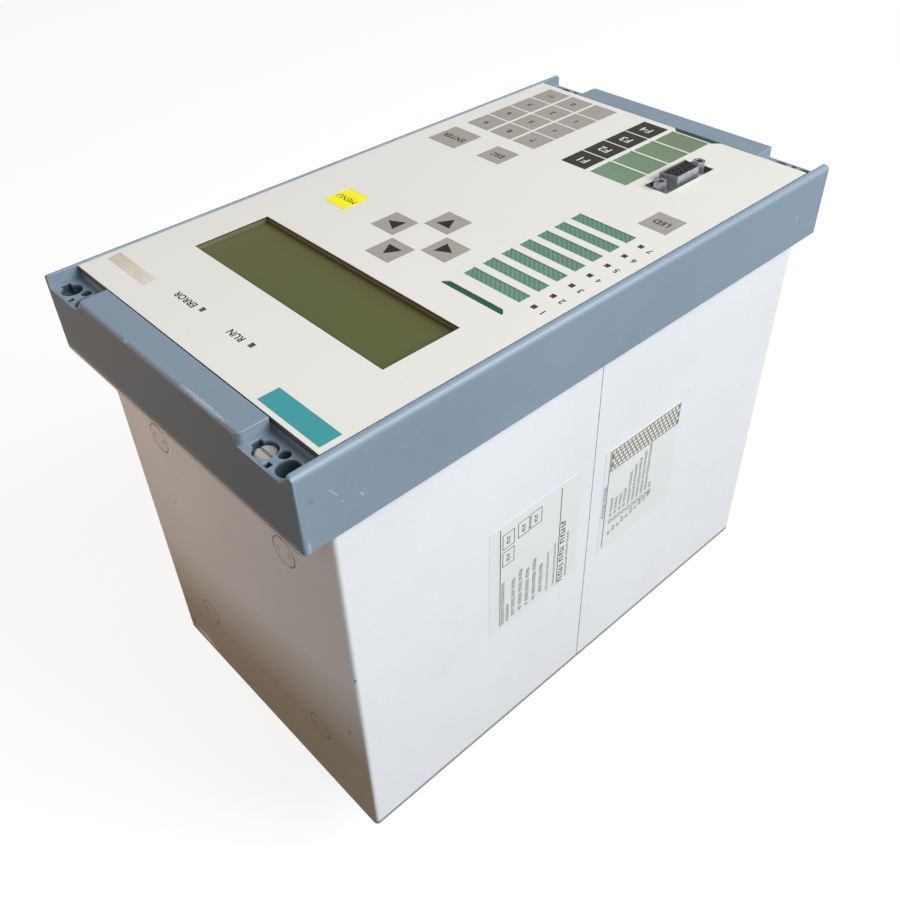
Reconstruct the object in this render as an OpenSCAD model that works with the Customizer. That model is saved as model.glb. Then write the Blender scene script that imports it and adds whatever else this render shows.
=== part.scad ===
// Numerical protection relay in a flush-mounting sheet case.
// The front faces -Y, +Z is up, +X is to the right as seen from the front.
// The panel that carries it has its face on the plane y = 0, behind the mounting flanges.

/* [Case] */
// Width of the sheet case
case_w = 145; // [143:1:160]
// Height of the sheet case
case_h = 244; // [240:1:270]
// Depth of the case behind the panel face
case_d = 172; // [164:1:200]
// Thickness of the case sheet
sheet_t = 1.5; // [1:0.1:2]
// Outer radius of the bends along the case
bend_r = 2; // [1.6:0.1:4]
// Open joint between the upper and the lower shell
seam_gap = 0.4; // [0.2:0.1:0.8]
// Height of the mounting flanges above and below the case
flange_h = 11; // [11:0.5:14]
// How far the flanges stand out past the ends of the front frame
flange_show = 0.4; // [0:0.1:1]
// Width of the folded rim that carries the rear panel
rear_lip = 9; // [8:0.5:12]

/* [Panel fixing] */
// From the side of the front frame to the panel screws
screw_edge_x = 9.25; // [8.5:0.25:9.5]
// From the end of the front frame to the screws in the corner pockets
screw_edge_z = 5.1; // [4.8:0.1:5.4]
// From the end block to the cover screw beside it
cover_edge = 5.8; // [5:0.1:7]
// Width of the slots in the mounting flanges
slot_w = 5.4; // [4.5:0.1:5.8]
// Length of the slots in the mounting flanges
slot_l = 7.4; // [6:0.1:7.6]

/* [Front frame] */
// Depth from the panel face to the front of the rims
front_d = 30.1; // [28:0.1:36]
// How far the front frame stands out past the side of the case
side_lip = 2.5; // [2:0.1:4]
// Thickness of the side rims
rim_t = 2.9; // [2.6:0.1:3.2]
// Radius of the rounded side rims
edge_r = 2.4; // [1.5:0.1:2.5]
// Radius of the front edges at the two ends
end_r = 1.4; // [1:0.1:2]
// Radius of the frame's four corners
corner_r = 1.2; // [1:0.1:3]
// Thickness of the frame's hidden walls
wall_t = 2.5; // [2:0.1:3]
// Height of the end block above the foil
block_h = 11.3; // [10.8:0.1:11.6]
// Height of the end block below the foil
foot_block_h = 12.5; // [12:0.1:13]
// Width of the end blocks between the corner pockets
block_w = 97.4; // [90:0.2:98]
// Depth of the corner pockets below the rims
pocket_d = 5; // [4.6:0.1:6]
// Width of the ledge that the front plate sits on
ledge_w = 3.4; // [3:0.1:3.5]
// Thickness of that ledge
ledge_t = 2.2; // [1.5:0.1:3]
// Diameter of the access hole for a panel screw
access_dia = 7.8; // [7.6:0.1:8]
// Diameter of the counterbore for a cover screw
counterbore_dia = 8.2; // [8.1:0.1:8.4]
// Depth of the counterbore below the pocket floor
counterbore_d = 3; // [2.5:0.1:4]

/* [Front plate and foil] */
// Step from the rims down to the foil
foil_sink = 0.2; // [0.1:0.1:0.6]
// Thickness of the printed foil
foil_t = 0.3; // [0.2:0.05:0.5]
// Thickness of the plate under the foil
plate_t = 2; // [1.5:0.1:2.5]
// Gap beside and above the plate and the foil, which rest on the lower block
plate_gap = 0.5; // [0.3:0.05:0.6]
// Height of the display opening
display_h = 32; // [26:1:34]
// From the side of the foil to the display opening
display_side = 17.6; // [17:0.1:24]
// From the top of the foil to the middle of the display
display_down = 53.1; // [50:0.1:56]
// From the top of the foil to the two status lamps
status_down = 16.2; // [14:0.1:20]
// Thickness of the display glass
glass_t = 1.8; // [1.1:0.1:2.5]

/* [Keys] */
// Side of a square key
key_size = 12.6; // [12:0.1:12.9]
// From the top of the foil to the middle of the arrow keys
arrow_down = 99.5; // [97:0.1:106]
// Side of the enter key
enter_size = 16.3; // [14:0.1:17]
// Side of a function key
function_size = 12.9; // [12:0.1:13]
// From the foot of the foil to the lowest row of keys
last_row_up = 10.1; // [10:0.1:12]
// From the foot of the foil to the row of the enter key
control_row_up = 73; // [71:0.1:77]
// Distance between keys in the number and function rows
key_pitch = 13.9; // [13.8:0.1:14.4]
// Distance of the arrow keys from their middle
arrow_step = 14.2; // [13.8:0.1:15]
// Gap all around a key in its opening
key_gap = 0.15; // [0.1:0.05:0.2]
// Travel of a key
key_travel = 0.4; // [0.2:0.1:0.5]

/* [Lamps and label strips] */
// Number of indicator lamps and label windows
lamp_count = 7; // [5:1:7]
// From the top of the foil to the first label window
lamp_down = 95.7; // [94:0.1:100]
// From the side of the foil to the indicator lamps
lamp_side = 9.5; // [9:0.1:11]
// Distance between indicator lamps
lamp_pitch = 9.18; // [8:0.01:9.4]
// Width of a lamp
lamp_w = 2.1; // [1.8:0.1:3]
// Height of a lamp
lamp_h = 2; // [1.8:0.1:3]
// Gap around a lamp in its opening
lamp_gap = 0.15; // [0.1:0.05:0.4]
// Width of a lamp label window
lamp_window_w = 27.2; // [24:0.1:28]
// Height of a lamp label window
lamp_window_h = 5.6; // [4:0.1:6.4]
// Width of a function label window
function_window_w = 19.2; // [16:0.1:20]
// Thickness of a label strip
strip_t = 0.25; // [0.15:0.05:0.3]

/* [Front port] */
// Height of the port's opening in the foil
port_open_h = 31; // [30.9:0.1:32]
// Width of the port's opening in the foil
port_open_w = 11; // [10.4:0.1:11.6]
// How far the port's shell stands out from its flange
port_shell_l = 5.8; // [5:0.1:6.5]
// Distance between the two hexagon posts
post_span = 25; // [24.6:0.1:25.4]

/* [Inside] */
// Thickness of the circuit boards
board_t = 1.6; // [1:0.1:2]
// Length of the spacers between the front plate and the front board
spacer_l = 6.5; // [6.2:0.1:8]
// Distance of the two plug-in boards from the middle
board_x = 41; // [38:0.5:44]
// From the panel face to the front pads of the card guides
pad_front = 32; // [24:1:40]
// From the back of the case to the rear pads of the card guides
pad_rear = 37; // [30:1:50]
// Diameter of the card guides' fixing pads in the case walls
pad_dia = 12; // [9:0.5:14]

/* [Rear terminals] */
// How far the terminal blocks stand out behind the case
terminal_d = 34; // [28:1:40]
// Width of a terminal block
terminal_w = 24; // [22:0.5:28]
// Height of a terminal block
terminal_h = 92; // [90:1:96]
// Depth of the bays that hold the terminal screws
bay_d = 3.6; // [2.6:0.1:3.8]
// Thickness of the ribs between bays
bay_rib = 1.6; // [1:0.1:2]
// Screw bays along each side of a signal block
signal_rows = 9; // [7:1:9]
// Screw bays along each side of the current block
current_rows = 6; // [4:1:6]

/* [Hidden] */
$fn = 48;
past = 1;                                  // how far a cutter runs past a face
fit_gap = 0.2;                             // clearance of a piece set into another
front_w = case_w + 2 * side_lip;
front_h = case_h + 2 * flange_h;
frame_back = -sheet_t;
skirt_y = -fit_gap;                        // back of the frame's sides, which cover the flanges
rim_y = -front_d;

// Layers behind the rims, from the front backwards
foil_y = rim_y + foil_sink;
plate_y = foil_y + foil_t;
plate_back = plate_y + plate_t;
board_y = plate_back + spacer_l;
board_back = board_y + board_t;
pocket_y = rim_y + pocket_d;

// Recess for the plate and the foil
recess_x = front_w / 2 - rim_t;
recess_top = front_h / 2 - block_h;
recess_foot = foot_block_h - front_h / 2;
recess_z = min(recess_top, -recess_foot);
foil_w = 2 * (recess_x - plate_gap);
foil_top = recess_top - plate_gap;
foil_foot = recess_foot;
block_wall = 1;                            // between the recess and the hollow of an end block

// Screws in the corner pockets
panel_x = front_w / 2 - screw_edge_x;
screw_z = front_h / 2 - screw_edge_z;
block_side = block_w / 2;
cover_x = block_side + cover_edge;
cover_bore_r = 2.2;
cover_shank_r = 2;
cover_head_r = 3.8;
cover_head_h = 2.2;
cover_screw_end = 5;                       // how far the cover screws reach into the panel
clip_hole_r = 2;
clip_x = (panel_x + cover_x) / 2;
clip_drop = 2.7;
clip_rise = 3.1;
clip_slot = [2.2, 2];
clip_depth = 4;
notch_h = 3.4;
notch_wall = 0.5;                          // wall left beside the notch of a screw hole

// Places on the foil
display_z = foil_top - display_down;
status_z = foil_top - status_down;
status_x = 14.58;
display_w = foil_w - 2 * display_side;
arrow_x = 0.1;
arrow_z = foil_top - arrow_down;
menu_side = 28.3;
menu_x = foil_w / 2 - menu_side;
number_side = 28.8;
number_x = foil_w / 2 - number_side;
number_pitch = key_pitch + 0.3;            // between the columns of the number keys
last_row_z = foil_foot + last_row_up;
control_row_z = foil_foot + control_row_up;
enter_side = 16;
enter_x = foil_w / 2 - enter_side;
escape_step = 26.6;
escape_x = enter_x - escape_step;
function_x = 0.3;
lamp_x = -foil_w / 2 + lamp_side;
lamp_window_gap = 5.1;
lamp_window_x = lamp_x + lamp_window_gap + lamp_window_w / 2;
first_window_z = foil_top - lamp_down;
last_window_z = first_window_z - (lamp_count - 1) * lamp_pitch;
lamp_rise = 1.2;
lamp_key_side = 14.8;
lamp_key_x = -foil_w / 2 + lamp_key_side;
lamp_key_drop = 17.9;
lamp_key_z = last_window_z - lamp_key_drop;
lamp_slit_rise = 10.8;
lamp_slit_z = first_window_z + lamp_slit_rise;
lamp_slit_h = 2.75;
lamp_slit_cut = 2;
strip_side = 1.15;                         // strip hidden beside its windows
lamp_strip_w = lamp_window_w + 2 * strip_side;
function_window_gap = 2.1;
function_window_x = function_x - function_size / 2 - function_window_gap - function_window_w / 2;
function_window_h = function_size;
function_strip_side = 2.1;
function_strip_w = function_window_w + 2 * function_strip_side;
function_strip_shift = 1.2;                // of the strip's middle from that of its windows
function_strip_x = function_window_x - function_strip_shift;
function_notch_d = 2.8;                    // depth of the notch in the foil's foot
function_notch_cut = 2.5;
strip_end = 1.2;                           // strip hidden past its last window
strip_seat = strip_t + 0.05;               // depth of the strip's bed in the plate
strip_play = 0.1;

// Front port
port_step = 20.05;                         // from the function labels to the port
port_x = function_window_x - port_step;
port_rise = 27.6;
port_z = last_row_z + port_rise;
port_flange = [12.5, 30.8, 0.5];
port_shell_size = [16.3, 7.9];
port_shell_wall = 0.4;
port_taper = 10;                           // slant of the shell's ends, degrees
post_flats = 4.75;
post_l = 5;
post_bore_r = 1.4;
post_floor = 0.8;
insert_sink = 0.3;                         // step from the shell's edge down to the insert
insert_body = [9.9, 19.3];

// Keys: name, middle x, middle z, side, colour
key_grey = "#afaca5";
key_dark = "#32302d";
key_yellow = "#fff01e";
digit_rows = [["point", "0", "sign"], ["1", "2", "3"], ["4", "5", "6"], ["7", "8", "9"]];
digit_keys = [for (row = [0:3], column = [0:2]) [
    str("key_", digit_rows[row][column]), number_x + (column - 1) * number_pitch,
    last_row_z + row * key_pitch, key_size, key_grey]];
function_keys = [for (n = [1:4]) [
    str("key_f", n), function_x, last_row_z + (4 - n) * key_pitch, function_size, key_dark]];
arrow_keys = [for (a = [["right", 0], ["up", 90], ["left", 180], ["down", 270]]) [
    str("key_", a[0]), arrow_x + arrow_step * cos(a[1]), arrow_z + arrow_step * sin(a[1]),
    key_size, key_grey]];
other_keys = [
    ["key_enter", enter_x, control_row_z, enter_size, key_grey],
    ["key_escape", escape_x, control_row_z, key_size, key_grey],
    ["key_led", lamp_key_x, lamp_key_z, key_size, key_grey],
    ["key_menu", menu_x, arrow_z, key_size, key_yellow]];
keys = concat(digit_keys, function_keys, arrow_keys, other_keys);
key_catch = 0.4;                           // catch under the plate, on each side of a key
key_catch_inset = 2;
key_catch_play = 0.1;
key_catch_y = plate_back + key_catch_play;
key_catch_t = 0.8;
key_stem_r = 2;
key_stem_l = 1.4;
key_stem_end = key_catch_y + key_catch_t + key_stem_l;
switch_play = 0.1;
switch_top = key_stem_end + key_travel + switch_play;
switch_size = 6;
switch_plunger_r = 1.7;
switch_plunger_h = 1;

// Front board and the spacers that carry it
front_board_x = recess_x - ledge_w - 1;
front_board_z = recess_z - ledge_w - 1;
spacer_r = 3;
spacer_x = front_board_x - spacer_r - fit_gap;
spacer_z = front_board_z - spacer_r - 1;
spacer_rise = 21.7;                        // of the middle spacers above the first lamp window
spacer_foot_x = 14.1;                      // of the lowest spacers from the function keys
lamp_sink = 0.4;
lamp_foot = 1.3;                           // how far a lamp's foot stands out around it
lamp_foot_h = 2.5;
display_margin = 4;
display_board_margin = 6.5;
display_board_side = 2.5;
display_board_t = 1.2;

// Inside of the case
inner_x = case_w / 2 - sheet_t;
inner_z = case_h / 2 - sheet_t;
lip_set_in = 4;
lip_y = case_d - lip_set_in;
panel_y = lip_y + sheet_t;
panel_back = panel_y + sheet_t;
card_end = 10;                             // between a plug-in board and either end of the case
card_front = card_end;
card_back = case_d - card_end;
card_play = 0.5;
guide_w = 9;
guide_h = 8.5;
guide_set_in = 4;
guide_front = card_front + guide_set_in;
guide_back = card_back - guide_set_in;
guide_groove = 5.5;
pad_y = [pad_front, case_d - pad_rear];
pad_pit_r = 0.8;
pad_pit_d = 0.6;
pad_pit_x = 0.27 * pad_dia;
strap_h = 16;
strap_t = 1.5;
strap_end = 5;
lip_screw_x = inner_x - rear_lip / 2;
lip_screw_mid_z = 30;
lip_screw_z = [inner_z - rear_lip / 2, lip_screw_mid_z];
lip_screw_r = 1.5;
lip_screw_end = 4;
lip_head_r = 2.8;
lip_head_h = 1.8;
screw_play = 0.1;

// Rear terminals
terminal_back = case_d + terminal_d;
terminal_gap = 22;                         // between an upper and a lower block
terminal_z = (terminal_h + terminal_gap) / 2;
terminal_root = 3;                         // how far the root through the panel is set in
bay_w = 7.5;
signal_head_r = 2.9;
current_head_r = 3.4;
terminal_head_h = 2.2;
terminal_shank_r = 1.5;
terminal_shank_l = 8;
terminal_slot_w = 0.9;
shank_end_play = 0.5;
port_out_drop = 60.5;
port_out_z = inner_z - port_out_drop;
port_out_l = 6;                            // depth of the rear port behind its panel
port_out_gap = 0.5;
earth_up = 16.5;
earth_z = -inner_z + earth_up;
earth_washer_r = 5;
earth_washer_t = 1;
earth_screw_l = 8;

// Extrudes an outline drawn in x and z from y0 to y1
module along_y(y0, y1) {
    translate([0, y1, 0]) rotate([90, 0, 0]) linear_extrude(y1 - y0) children();
}

// Extrudes an outline drawn in x and y from z0 to z1
module along_z(z0, z1) {
    translate([0, 0, z0]) linear_extrude(z1 - z0) children();
}

// Extrudes an outline drawn in y and z from x0 to x1
module along_x(x0, x1) {
    translate([x0, 0, 0]) rotate([90, 0, 90]) linear_extrude(x1 - x0) children();
}

// A box from one corner to the other
module block(low, high) {
    translate(low) cube(high - low);
}

// A box centred on x and z, from y0 to y1
module slab(x, z, w, h, y0, y1) {
    block([x - w / 2, y0, z - h / 2], [x + w / 2, y1, z + h / 2]);
}

// A round bar along y
module bar_y(x, z, r, y0, y1) {
    translate([x, y1, z]) rotate([90, 0, 0]) cylinder(r = r, h = y1 - y0);
}

// A rectangle with round corners, centred
module round_rect(w, h, r) {
    square([w - 2 * r, h], center = true);
    square([w, h - 2 * r], center = true);
    for (x = [-1, 1], z = [-1, 1]) translate([x * (w / 2 - r), z * (h / 2 - r)]) circle(r);
}

// Copies to the four corners by mirroring
module four_corners() {
    for (x = [0, 1], z = [0, 1]) mirror([x, 0, 0]) mirror([0, 0, z]) children();
}

// Copies to the left and right
module both_sides() {
    for (x = [0, 1]) mirror([x, 0, 0]) children();
}

// Outline across the frame: width w, with both front edges rounded
module front_outline(w, r) {
    translate([-w / 2, rim_y + r]) square([w, skirt_y - rim_y - r]);
    translate([-w / 2 + r, rim_y]) square([w - 2 * r, 2 * r]);
    for (s = [-1, 1]) translate([s * (w / 2 - r), rim_y + r]) circle(r);
}

module frame_blank() {
    intersection() {
        along_y(rim_y, skirt_y) round_rect(front_w, front_h, corner_r);
        along_z(-front_h / 2, front_h / 2) front_outline(front_w, edge_r);
        along_x(-front_w / 2, front_w / 2) mirror([1, -1]) front_outline(front_h, end_r);
    }
}

// One corner pocket with its screw holes and the sockets for a clip-in cap, beside a recess to edge
module corner_pocket(edge) {
    along_y(rim_y - past, pocket_y) {
        translate([block_side, edge - past])
            square([recess_x - block_side, front_h / 2 - edge + 2 * past]);
        translate([block_side - edge_r, front_h / 2 - edge_r]) difference() {
            square(edge_r + past);
            circle(edge_r);
        }
    }
    bar_y(panel_x, screw_z, access_dia / 2, pocket_y - past, frame_back + past);
    block([panel_x, pocket_y - past, screw_z - notch_h / 2],
          [recess_x - notch_wall, pocket_y + clip_depth, screw_z + notch_h / 2]);
    bar_y(cover_x, screw_z, counterbore_dia / 2, pocket_y - past, pocket_y + counterbore_d);
    bar_y(cover_x, screw_z, cover_bore_r, pocket_y, frame_back + past);
    block([block_side + notch_wall, pocket_y - past, screw_z - notch_h / 2],
          [cover_x, pocket_y + counterbore_d, screw_z + notch_h / 2]);
    bar_y(clip_x, screw_z - clip_drop, clip_hole_r, pocket_y - past, pocket_y + clip_depth);
    slab(clip_x, screw_z + clip_rise, clip_slot[0], clip_slot[1],
         pocket_y - past, pocket_y + clip_depth);
}

// Hollow behind an end block, open to the back
module block_hollow(edge) {
    block([-block_side + wall_t, rim_y + wall_t, edge + block_wall],
          [block_side - wall_t, frame_back + past, front_h / 2 - wall_t]);
}

module front_frame() {
    color("#879baf") difference() {
        frame_blank();
        block([-recess_x, rim_y - past, recess_foot], [recess_x, plate_back, recess_top]);
        slab(0, 0, 2 * (recess_x - ledge_w), 2 * (recess_z - ledge_w), rim_y, frame_back + past);
        slab(0, 0, front_w - 2 * wall_t, 2 * (recess_z - wall_t),
             plate_back + ledge_t, frame_back + past);
        slab(0, 0, case_w + 2 * fit_gap, front_h + 2 * past, frame_back, past);
        both_sides() {
            corner_pocket(recess_top);
            mirror([0, 0, 1]) corner_pocket(-recess_foot);
        }
        block_hollow(recess_top);
        mirror([0, 0, 1]) block_hollow(-recess_foot);
    }
}

// Openings for keys, lamps, display and port, through what lies between y0 and y1
module panel_openings(y0, y1) {
    for (k = keys) slab(k[1], k[2], k[3] + 2 * key_gap, k[3] + 2 * key_gap, y0, y1);
    for (x = [-1, 1])
        slab(x * status_x, status_z, lamp_w + 2 * lamp_gap, lamp_h + 2 * lamp_gap, y0, y1);
    for (i = [0:lamp_count - 1])
        slab(lamp_x, lamp_z(i), lamp_w + 2 * lamp_gap, lamp_h + 2 * lamp_gap, y0, y1);
    slab(0, display_z, display_w, display_h, y0, y1);
    slab(port_x, port_z, port_open_w, port_open_h, y0, y1);
}

function window_z(i) = first_window_z - i * lamp_pitch;
function lamp_z(i) = window_z(i) + lamp_rise;

// Extent of the two label strips, top and foot
lamp_strip_top = lamp_slit_z + lamp_slit_h / 2 + strip_end / 2;
lamp_strip_foot = last_window_z - lamp_window_h / 2 - strip_end;
function_strip_top = last_row_z + 3 * key_pitch + function_window_h / 2 + strip_end / 2;
function_strip_foot = foil_foot;

// The two strips' outlines, grown by a gap, between y0 and y1
module lamp_strip_bed(gap, y0, y1) {
    block([lamp_window_x - lamp_strip_w / 2 - gap, y0, lamp_strip_foot - gap],
          [lamp_window_x + lamp_strip_w / 2 + gap, y1, lamp_strip_top + gap]);
}

module function_strip_bed(gap, y0, y1) {
    block([function_strip_x - function_strip_w / 2 - gap, y0, function_strip_foot - gap],
          [function_strip_x + function_strip_w / 2 + gap, y1, function_strip_top + gap]);
}

module front_plate() {
    color("#b8bcbe") difference() {
        block([-foil_w / 2, plate_y, foil_foot], [foil_w / 2, plate_back, foil_top]);
        panel_openings(plate_y - past, plate_back + past);
        lamp_strip_bed(strip_play, plate_y - past, plate_y + strip_seat);
        function_strip_bed(strip_play, plate_y - past, plate_y + strip_seat);
    }
}

// Round spacers between the front plate and the front board
module board_spacers() {
    color("#c2c5c6") for (s = [-1, 1]) {
        bar_y(s * spacer_x, spacer_z, spacer_r, plate_back, board_y);
        bar_y(s * spacer_x, first_window_z + spacer_rise, spacer_r, plate_back, board_y);
        bar_y(function_x + s * spacer_foot_x, -spacer_z, spacer_r, plate_back, board_y);
    }
}

// Slit for a label strip, with its two top corners cut off
module strip_slit(w, h, cut) {
    along_y(foil_y - past, plate_y + past)
        polygon([[-w / 2, -h / 2], [w / 2, -h / 2], [w / 2, h / 2 - cut], [w / 2 - cut, h / 2],
                 [-w / 2 + cut, h / 2], [-w / 2, h / 2 - cut]]);
}

module front_foil() {
    color("#e5e5de") difference() {
        block([-foil_w / 2, foil_y, foil_foot], [foil_w / 2, plate_y, foil_top]);
        panel_openings(foil_y - past, plate_y + past);
        for (i = [0:lamp_count - 1])
            slab(lamp_window_x, window_z(i), lamp_window_w, lamp_window_h,
                 foil_y - past, plate_y + past);
        for (row = [0:3])
            slab(function_window_x, last_row_z + row * key_pitch, function_window_w, function_window_h,
                 foil_y - past, plate_y + past);
        translate([lamp_window_x, 0, lamp_slit_z]) mirror([0, 0, 1])
            strip_slit(lamp_strip_w, lamp_slit_h, lamp_slit_cut);
        translate([function_strip_x, 0, foil_foot + (function_notch_d - past) / 2])
            strip_slit(function_strip_w, function_notch_d + past, function_notch_cut);
    }
}

module led_label_strip() {
    color("#6e9b82") lamp_strip_bed(0, plate_y, plate_y + strip_t);
}

module function_label_strip() {
    color("#7d9173") function_strip_bed(0, plate_y, plate_y + strip_t);
}

module display_glass() {
    color("#686a46") slab(0, display_z, display_w + 2 * display_margin, display_h + 2 * display_margin,
                          plate_back, plate_back + glass_t);
}

// Display module: a folded metal bezel on its own small board
module display_module() {
    bezel_w = display_w + 2 * display_margin;
    bezel_h = display_h + 2 * display_margin;
    color("#3f4a42") {
        slab(0, display_z, bezel_w, bezel_h, plate_back + glass_t, board_y);
        slab(0, display_z, bezel_w + 2 * display_board_side, bezel_h + 2 * display_board_margin,
             board_y - display_board_t, board_y);
    }
}

module lamp(x, z) {
    slab(x, z, lamp_w, lamp_h, foil_y + lamp_sink, board_y);
    slab(x, z, lamp_w + 2 * lamp_foot, lamp_h + 2 * lamp_foot, board_y - lamp_foot_h, board_y);
}

module status_leds() {
    color("#4a4742") for (x = [-1, 1]) lamp(x * status_x, status_z);
}

module indicator_leds() {
    color("#4f332f") for (i = [0:lamp_count - 1]) lamp(lamp_x, lamp_z(i));
}

// Outline of the port's shell: its wide side faces +X
module port_outline(inset) {
    half_l = port_shell_size[0] / 2 - inset;
    half_w = port_shell_size[1] / 2 - inset;
    slant = 2 * half_w * tan(port_taper);
    polygon([[half_w, half_l], [half_w, -half_l], [-half_w, -half_l + slant], [-half_w, half_l - slant]]);
}

module port_shell() {
    shell_y = plate_back - port_shell_l;
    color("#8d9194") difference() {
        union() {
            slab(port_x, port_z, port_flange[0], port_flange[1], plate_back, plate_back + port_flange[2]);
            along_y(shell_y, plate_back + port_flange[2]) translate([port_x, port_z]) port_outline(0);
        }
        along_y(shell_y - past, plate_back + port_flange[2] + past)
            translate([port_x, port_z]) port_outline(port_shell_wall);
    }
}

// Socket insert with five contacts in the wide row and four in the narrow one
module port_insert() {
    contact_pitch = 2.77;
    row_gap = 2.84;
    contact_r = 0.55;
    insert_y = plate_back - port_shell_l + insert_sink;
    body_y = plate_back + port_flange[2];
    color("#26241f") difference() {
        union() {
            along_y(insert_y, body_y) translate([port_x, port_z]) port_outline(port_shell_wall);
            slab(port_x, port_z, insert_body[0], insert_body[1], body_y, board_y);
        }
        for (row = [0, 1], i = [0:4 - row])
            bar_y(port_x + row_gap * (0.5 - row), port_z + contact_pitch * (i - 2 + row / 2), contact_r,
                  insert_y - past, body_y);
    }
}

module port_posts() {
    post_r = post_flats / sqrt(3);
    color("#b9bcbf") for (s = [-1, 1]) difference() {
        translate([port_x, plate_back, port_z + s * post_span / 2]) rotate([90, 0, 0])
            cylinder(r = post_r, h = post_l, $fn = 6);
        bar_y(port_x, port_z + s * post_span / 2, post_bore_r,
              plate_back - post_l - past, plate_back - post_floor);
    }
}

// A key: cap in the opening, two catches under the plate and a stem above its switch
module key_cap(k) {
    color(k[4]) {
        slab(k[1], k[2], k[3], k[3], foil_y, key_catch_y + key_catch_t);
        slab(k[1], k[2], k[3] + 2 * key_catch, k[3] - 2 * key_catch_inset,
             key_catch_y, key_catch_y + key_catch_t);
        bar_y(k[1], k[2], key_stem_r, key_catch_y, key_stem_end);
    }
}

module key_switches() {
    color("#2c2c2c") for (k = keys) {
        slab(k[1], k[2], switch_size, switch_size, switch_top + switch_plunger_h, board_y);
        bar_y(k[1], k[2], switch_plunger_r, switch_top, board_y);
    }
}

module front_board() {
    color("#2f6b3f") slab(0, 0, 2 * front_board_x, 2 * front_board_z, board_y, board_back);
}

// Pan-head screw along y, its head towards the front, with a slot across the head
module front_screw(x, z, head_r, head_h, shank_r, head_y, end_y) {
    difference() {
        union() {
            translate([x, head_y, z]) rotate([90, 0, 0]) rotate_extrude() pan_outline(head_r, head_h);
            bar_y(x, z, shank_r, head_y - head_h / 2, end_y);
        }
        slab(x, z, 2 * head_r + past, 0.25 * head_r, head_y - head_h - past, head_y - head_h / 2);
    }
}

// Half section of a pan head, base at 0
module pan_outline(head_r, head_h) {
    round_r = 0.6 * head_h;
    square([head_r, head_h - round_r]);
    square([head_r - round_r, head_h]);
    translate([head_r - round_r, head_h - round_r]) intersection() {
        circle(round_r);
        square(round_r);
    }
}

module cover_screws() {
    color("#c9cbc6") four_corners()
        front_screw(cover_x, screw_z, cover_head_r, cover_head_h, cover_shank_r,
                    pocket_y + counterbore_d, cover_screw_end);
}

// Upper half of the case section: outer radius r, set in from the outside of the case by inset
module half_section(inset, r) {
    w = case_w / 2 - inset;
    top = case_h / 2 - inset;
    translate([-w, seam_gap / 2]) square([2 * w, top - r - seam_gap / 2]);
    translate([-w + r, top - 2 * r]) square([2 * (w - r), 2 * r]);
    for (s = [-1, 1]) translate([s * (w - r), top - r]) circle(r);
}

module flange_slot() {
    along_y(-sheet_t - past, past) translate([panel_x, screw_z]) {
        square([slot_l - slot_w, slot_w], center = true);
        for (s = [-1, 1]) translate([s * (slot_l - slot_w) / 2, 0]) circle(slot_w / 2);
    }
}

// Folded sheet half of the case: wall, flange at the front, rim for the rear panel
module case_half() {
    inner_r = bend_r - sheet_t;
    difference() {
        union() {
            difference() {
                along_y(-sheet_t, case_d) half_section(0, bend_r);
                translate([0, 0, -past]) along_y(-sheet_t - past, lip_y) half_section(sheet_t, inner_r);
                along_y(-sheet_t - past, lip_y) half_section(sheet_t, inner_r);
                translate([0, 0, -past]) along_y(panel_y, case_d + past) half_section(sheet_t, inner_r);
                along_y(panel_y, case_d + past) half_section(sheet_t, inner_r);
                block([-inner_x + rear_lip, lip_y - past, -past],
                      [inner_x - rear_lip, panel_y + past, inner_z - rear_lip]);
            }
            block([-case_w / 2, -sheet_t, inner_z], [case_w / 2, 0, front_h / 2 + flange_show]);
        }
        both_sides() {
            flange_slot();
            bar_y(cover_x, screw_z, cover_shank_r + screw_play, -sheet_t - past, past);
            for (y = pad_y) translate([board_x, y, inner_z - past])
                cylinder(r = pad_dia / 2 + fit_gap, h = sheet_t + 2 * past);
            for (z = lip_screw_z)
                bar_y(lip_screw_x, z, lip_screw_r + screw_play, lip_y - past, panel_y + past);
        }
    }
}

module upper_shell() {
    color("#e6eaee") case_half();
}

module lower_shell() {
    color("#e6eaee") mirror([0, 0, 1]) case_half();
}

// Straps behind the two seams
module seam_straps() {
    color("#c4c8cb") both_sides()
        block([inner_x - strap_t, strap_end, -strap_h / 2], [inner_x, lip_y - strap_end, strap_h / 2]);
}

// Places of the terminal blocks on the rear panel
module at_signal_blocks() {
    for (p = [[-1, 1], [-1, -1], [1, 1]]) translate([p[0] * board_x, 0, p[1] * terminal_z]) children();
}

module at_current_block() {
    translate([board_x, 0, -terminal_z]) children();
}

module terminal_root_shape(gap) {
    slab(0, 0, terminal_w - 2 * terminal_root + 2 * gap, terminal_h - 2 * terminal_root + 2 * gap,
         card_back - gap, panel_back + gap);
}

module rear_panel() {
    color("#d4d7d8") difference() {
        slab(0, 0, 2 * (inner_x - fit_gap), 2 * (inner_z - fit_gap), panel_y, panel_back);
        at_signal_blocks() terminal_root_shape(fit_gap);
        at_current_block() terminal_root_shape(fit_gap);
        slab(0, port_out_z, port_shell_size[1] + 2 * port_out_gap, port_shell_size[0] + 2 * port_out_gap,
             panel_y - past, panel_back + past);
        bar_y(0, earth_z, cover_bore_r, panel_y - past, panel_back + past);
        four_corners() for (z = lip_screw_z)
            bar_y(lip_screw_x, z, lip_screw_r + screw_play, panel_y - past, panel_back + past);
    }
}

// The same screw with its head towards the back
module rear_screw(x, z, head_r, head_h, shank_r, head_y, end_y) {
    mirror([0, 1, 0]) front_screw(x, z, head_r, head_h, shank_r, -head_y, -end_y);
}

module rear_panel_screws() {
    color("#c2c5c6") four_corners() for (z = lip_screw_z)
        rear_screw(lip_screw_x, z, lip_head_r, lip_head_h, lip_screw_r, panel_back,
                   lip_y - lip_screw_end);
}

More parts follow.
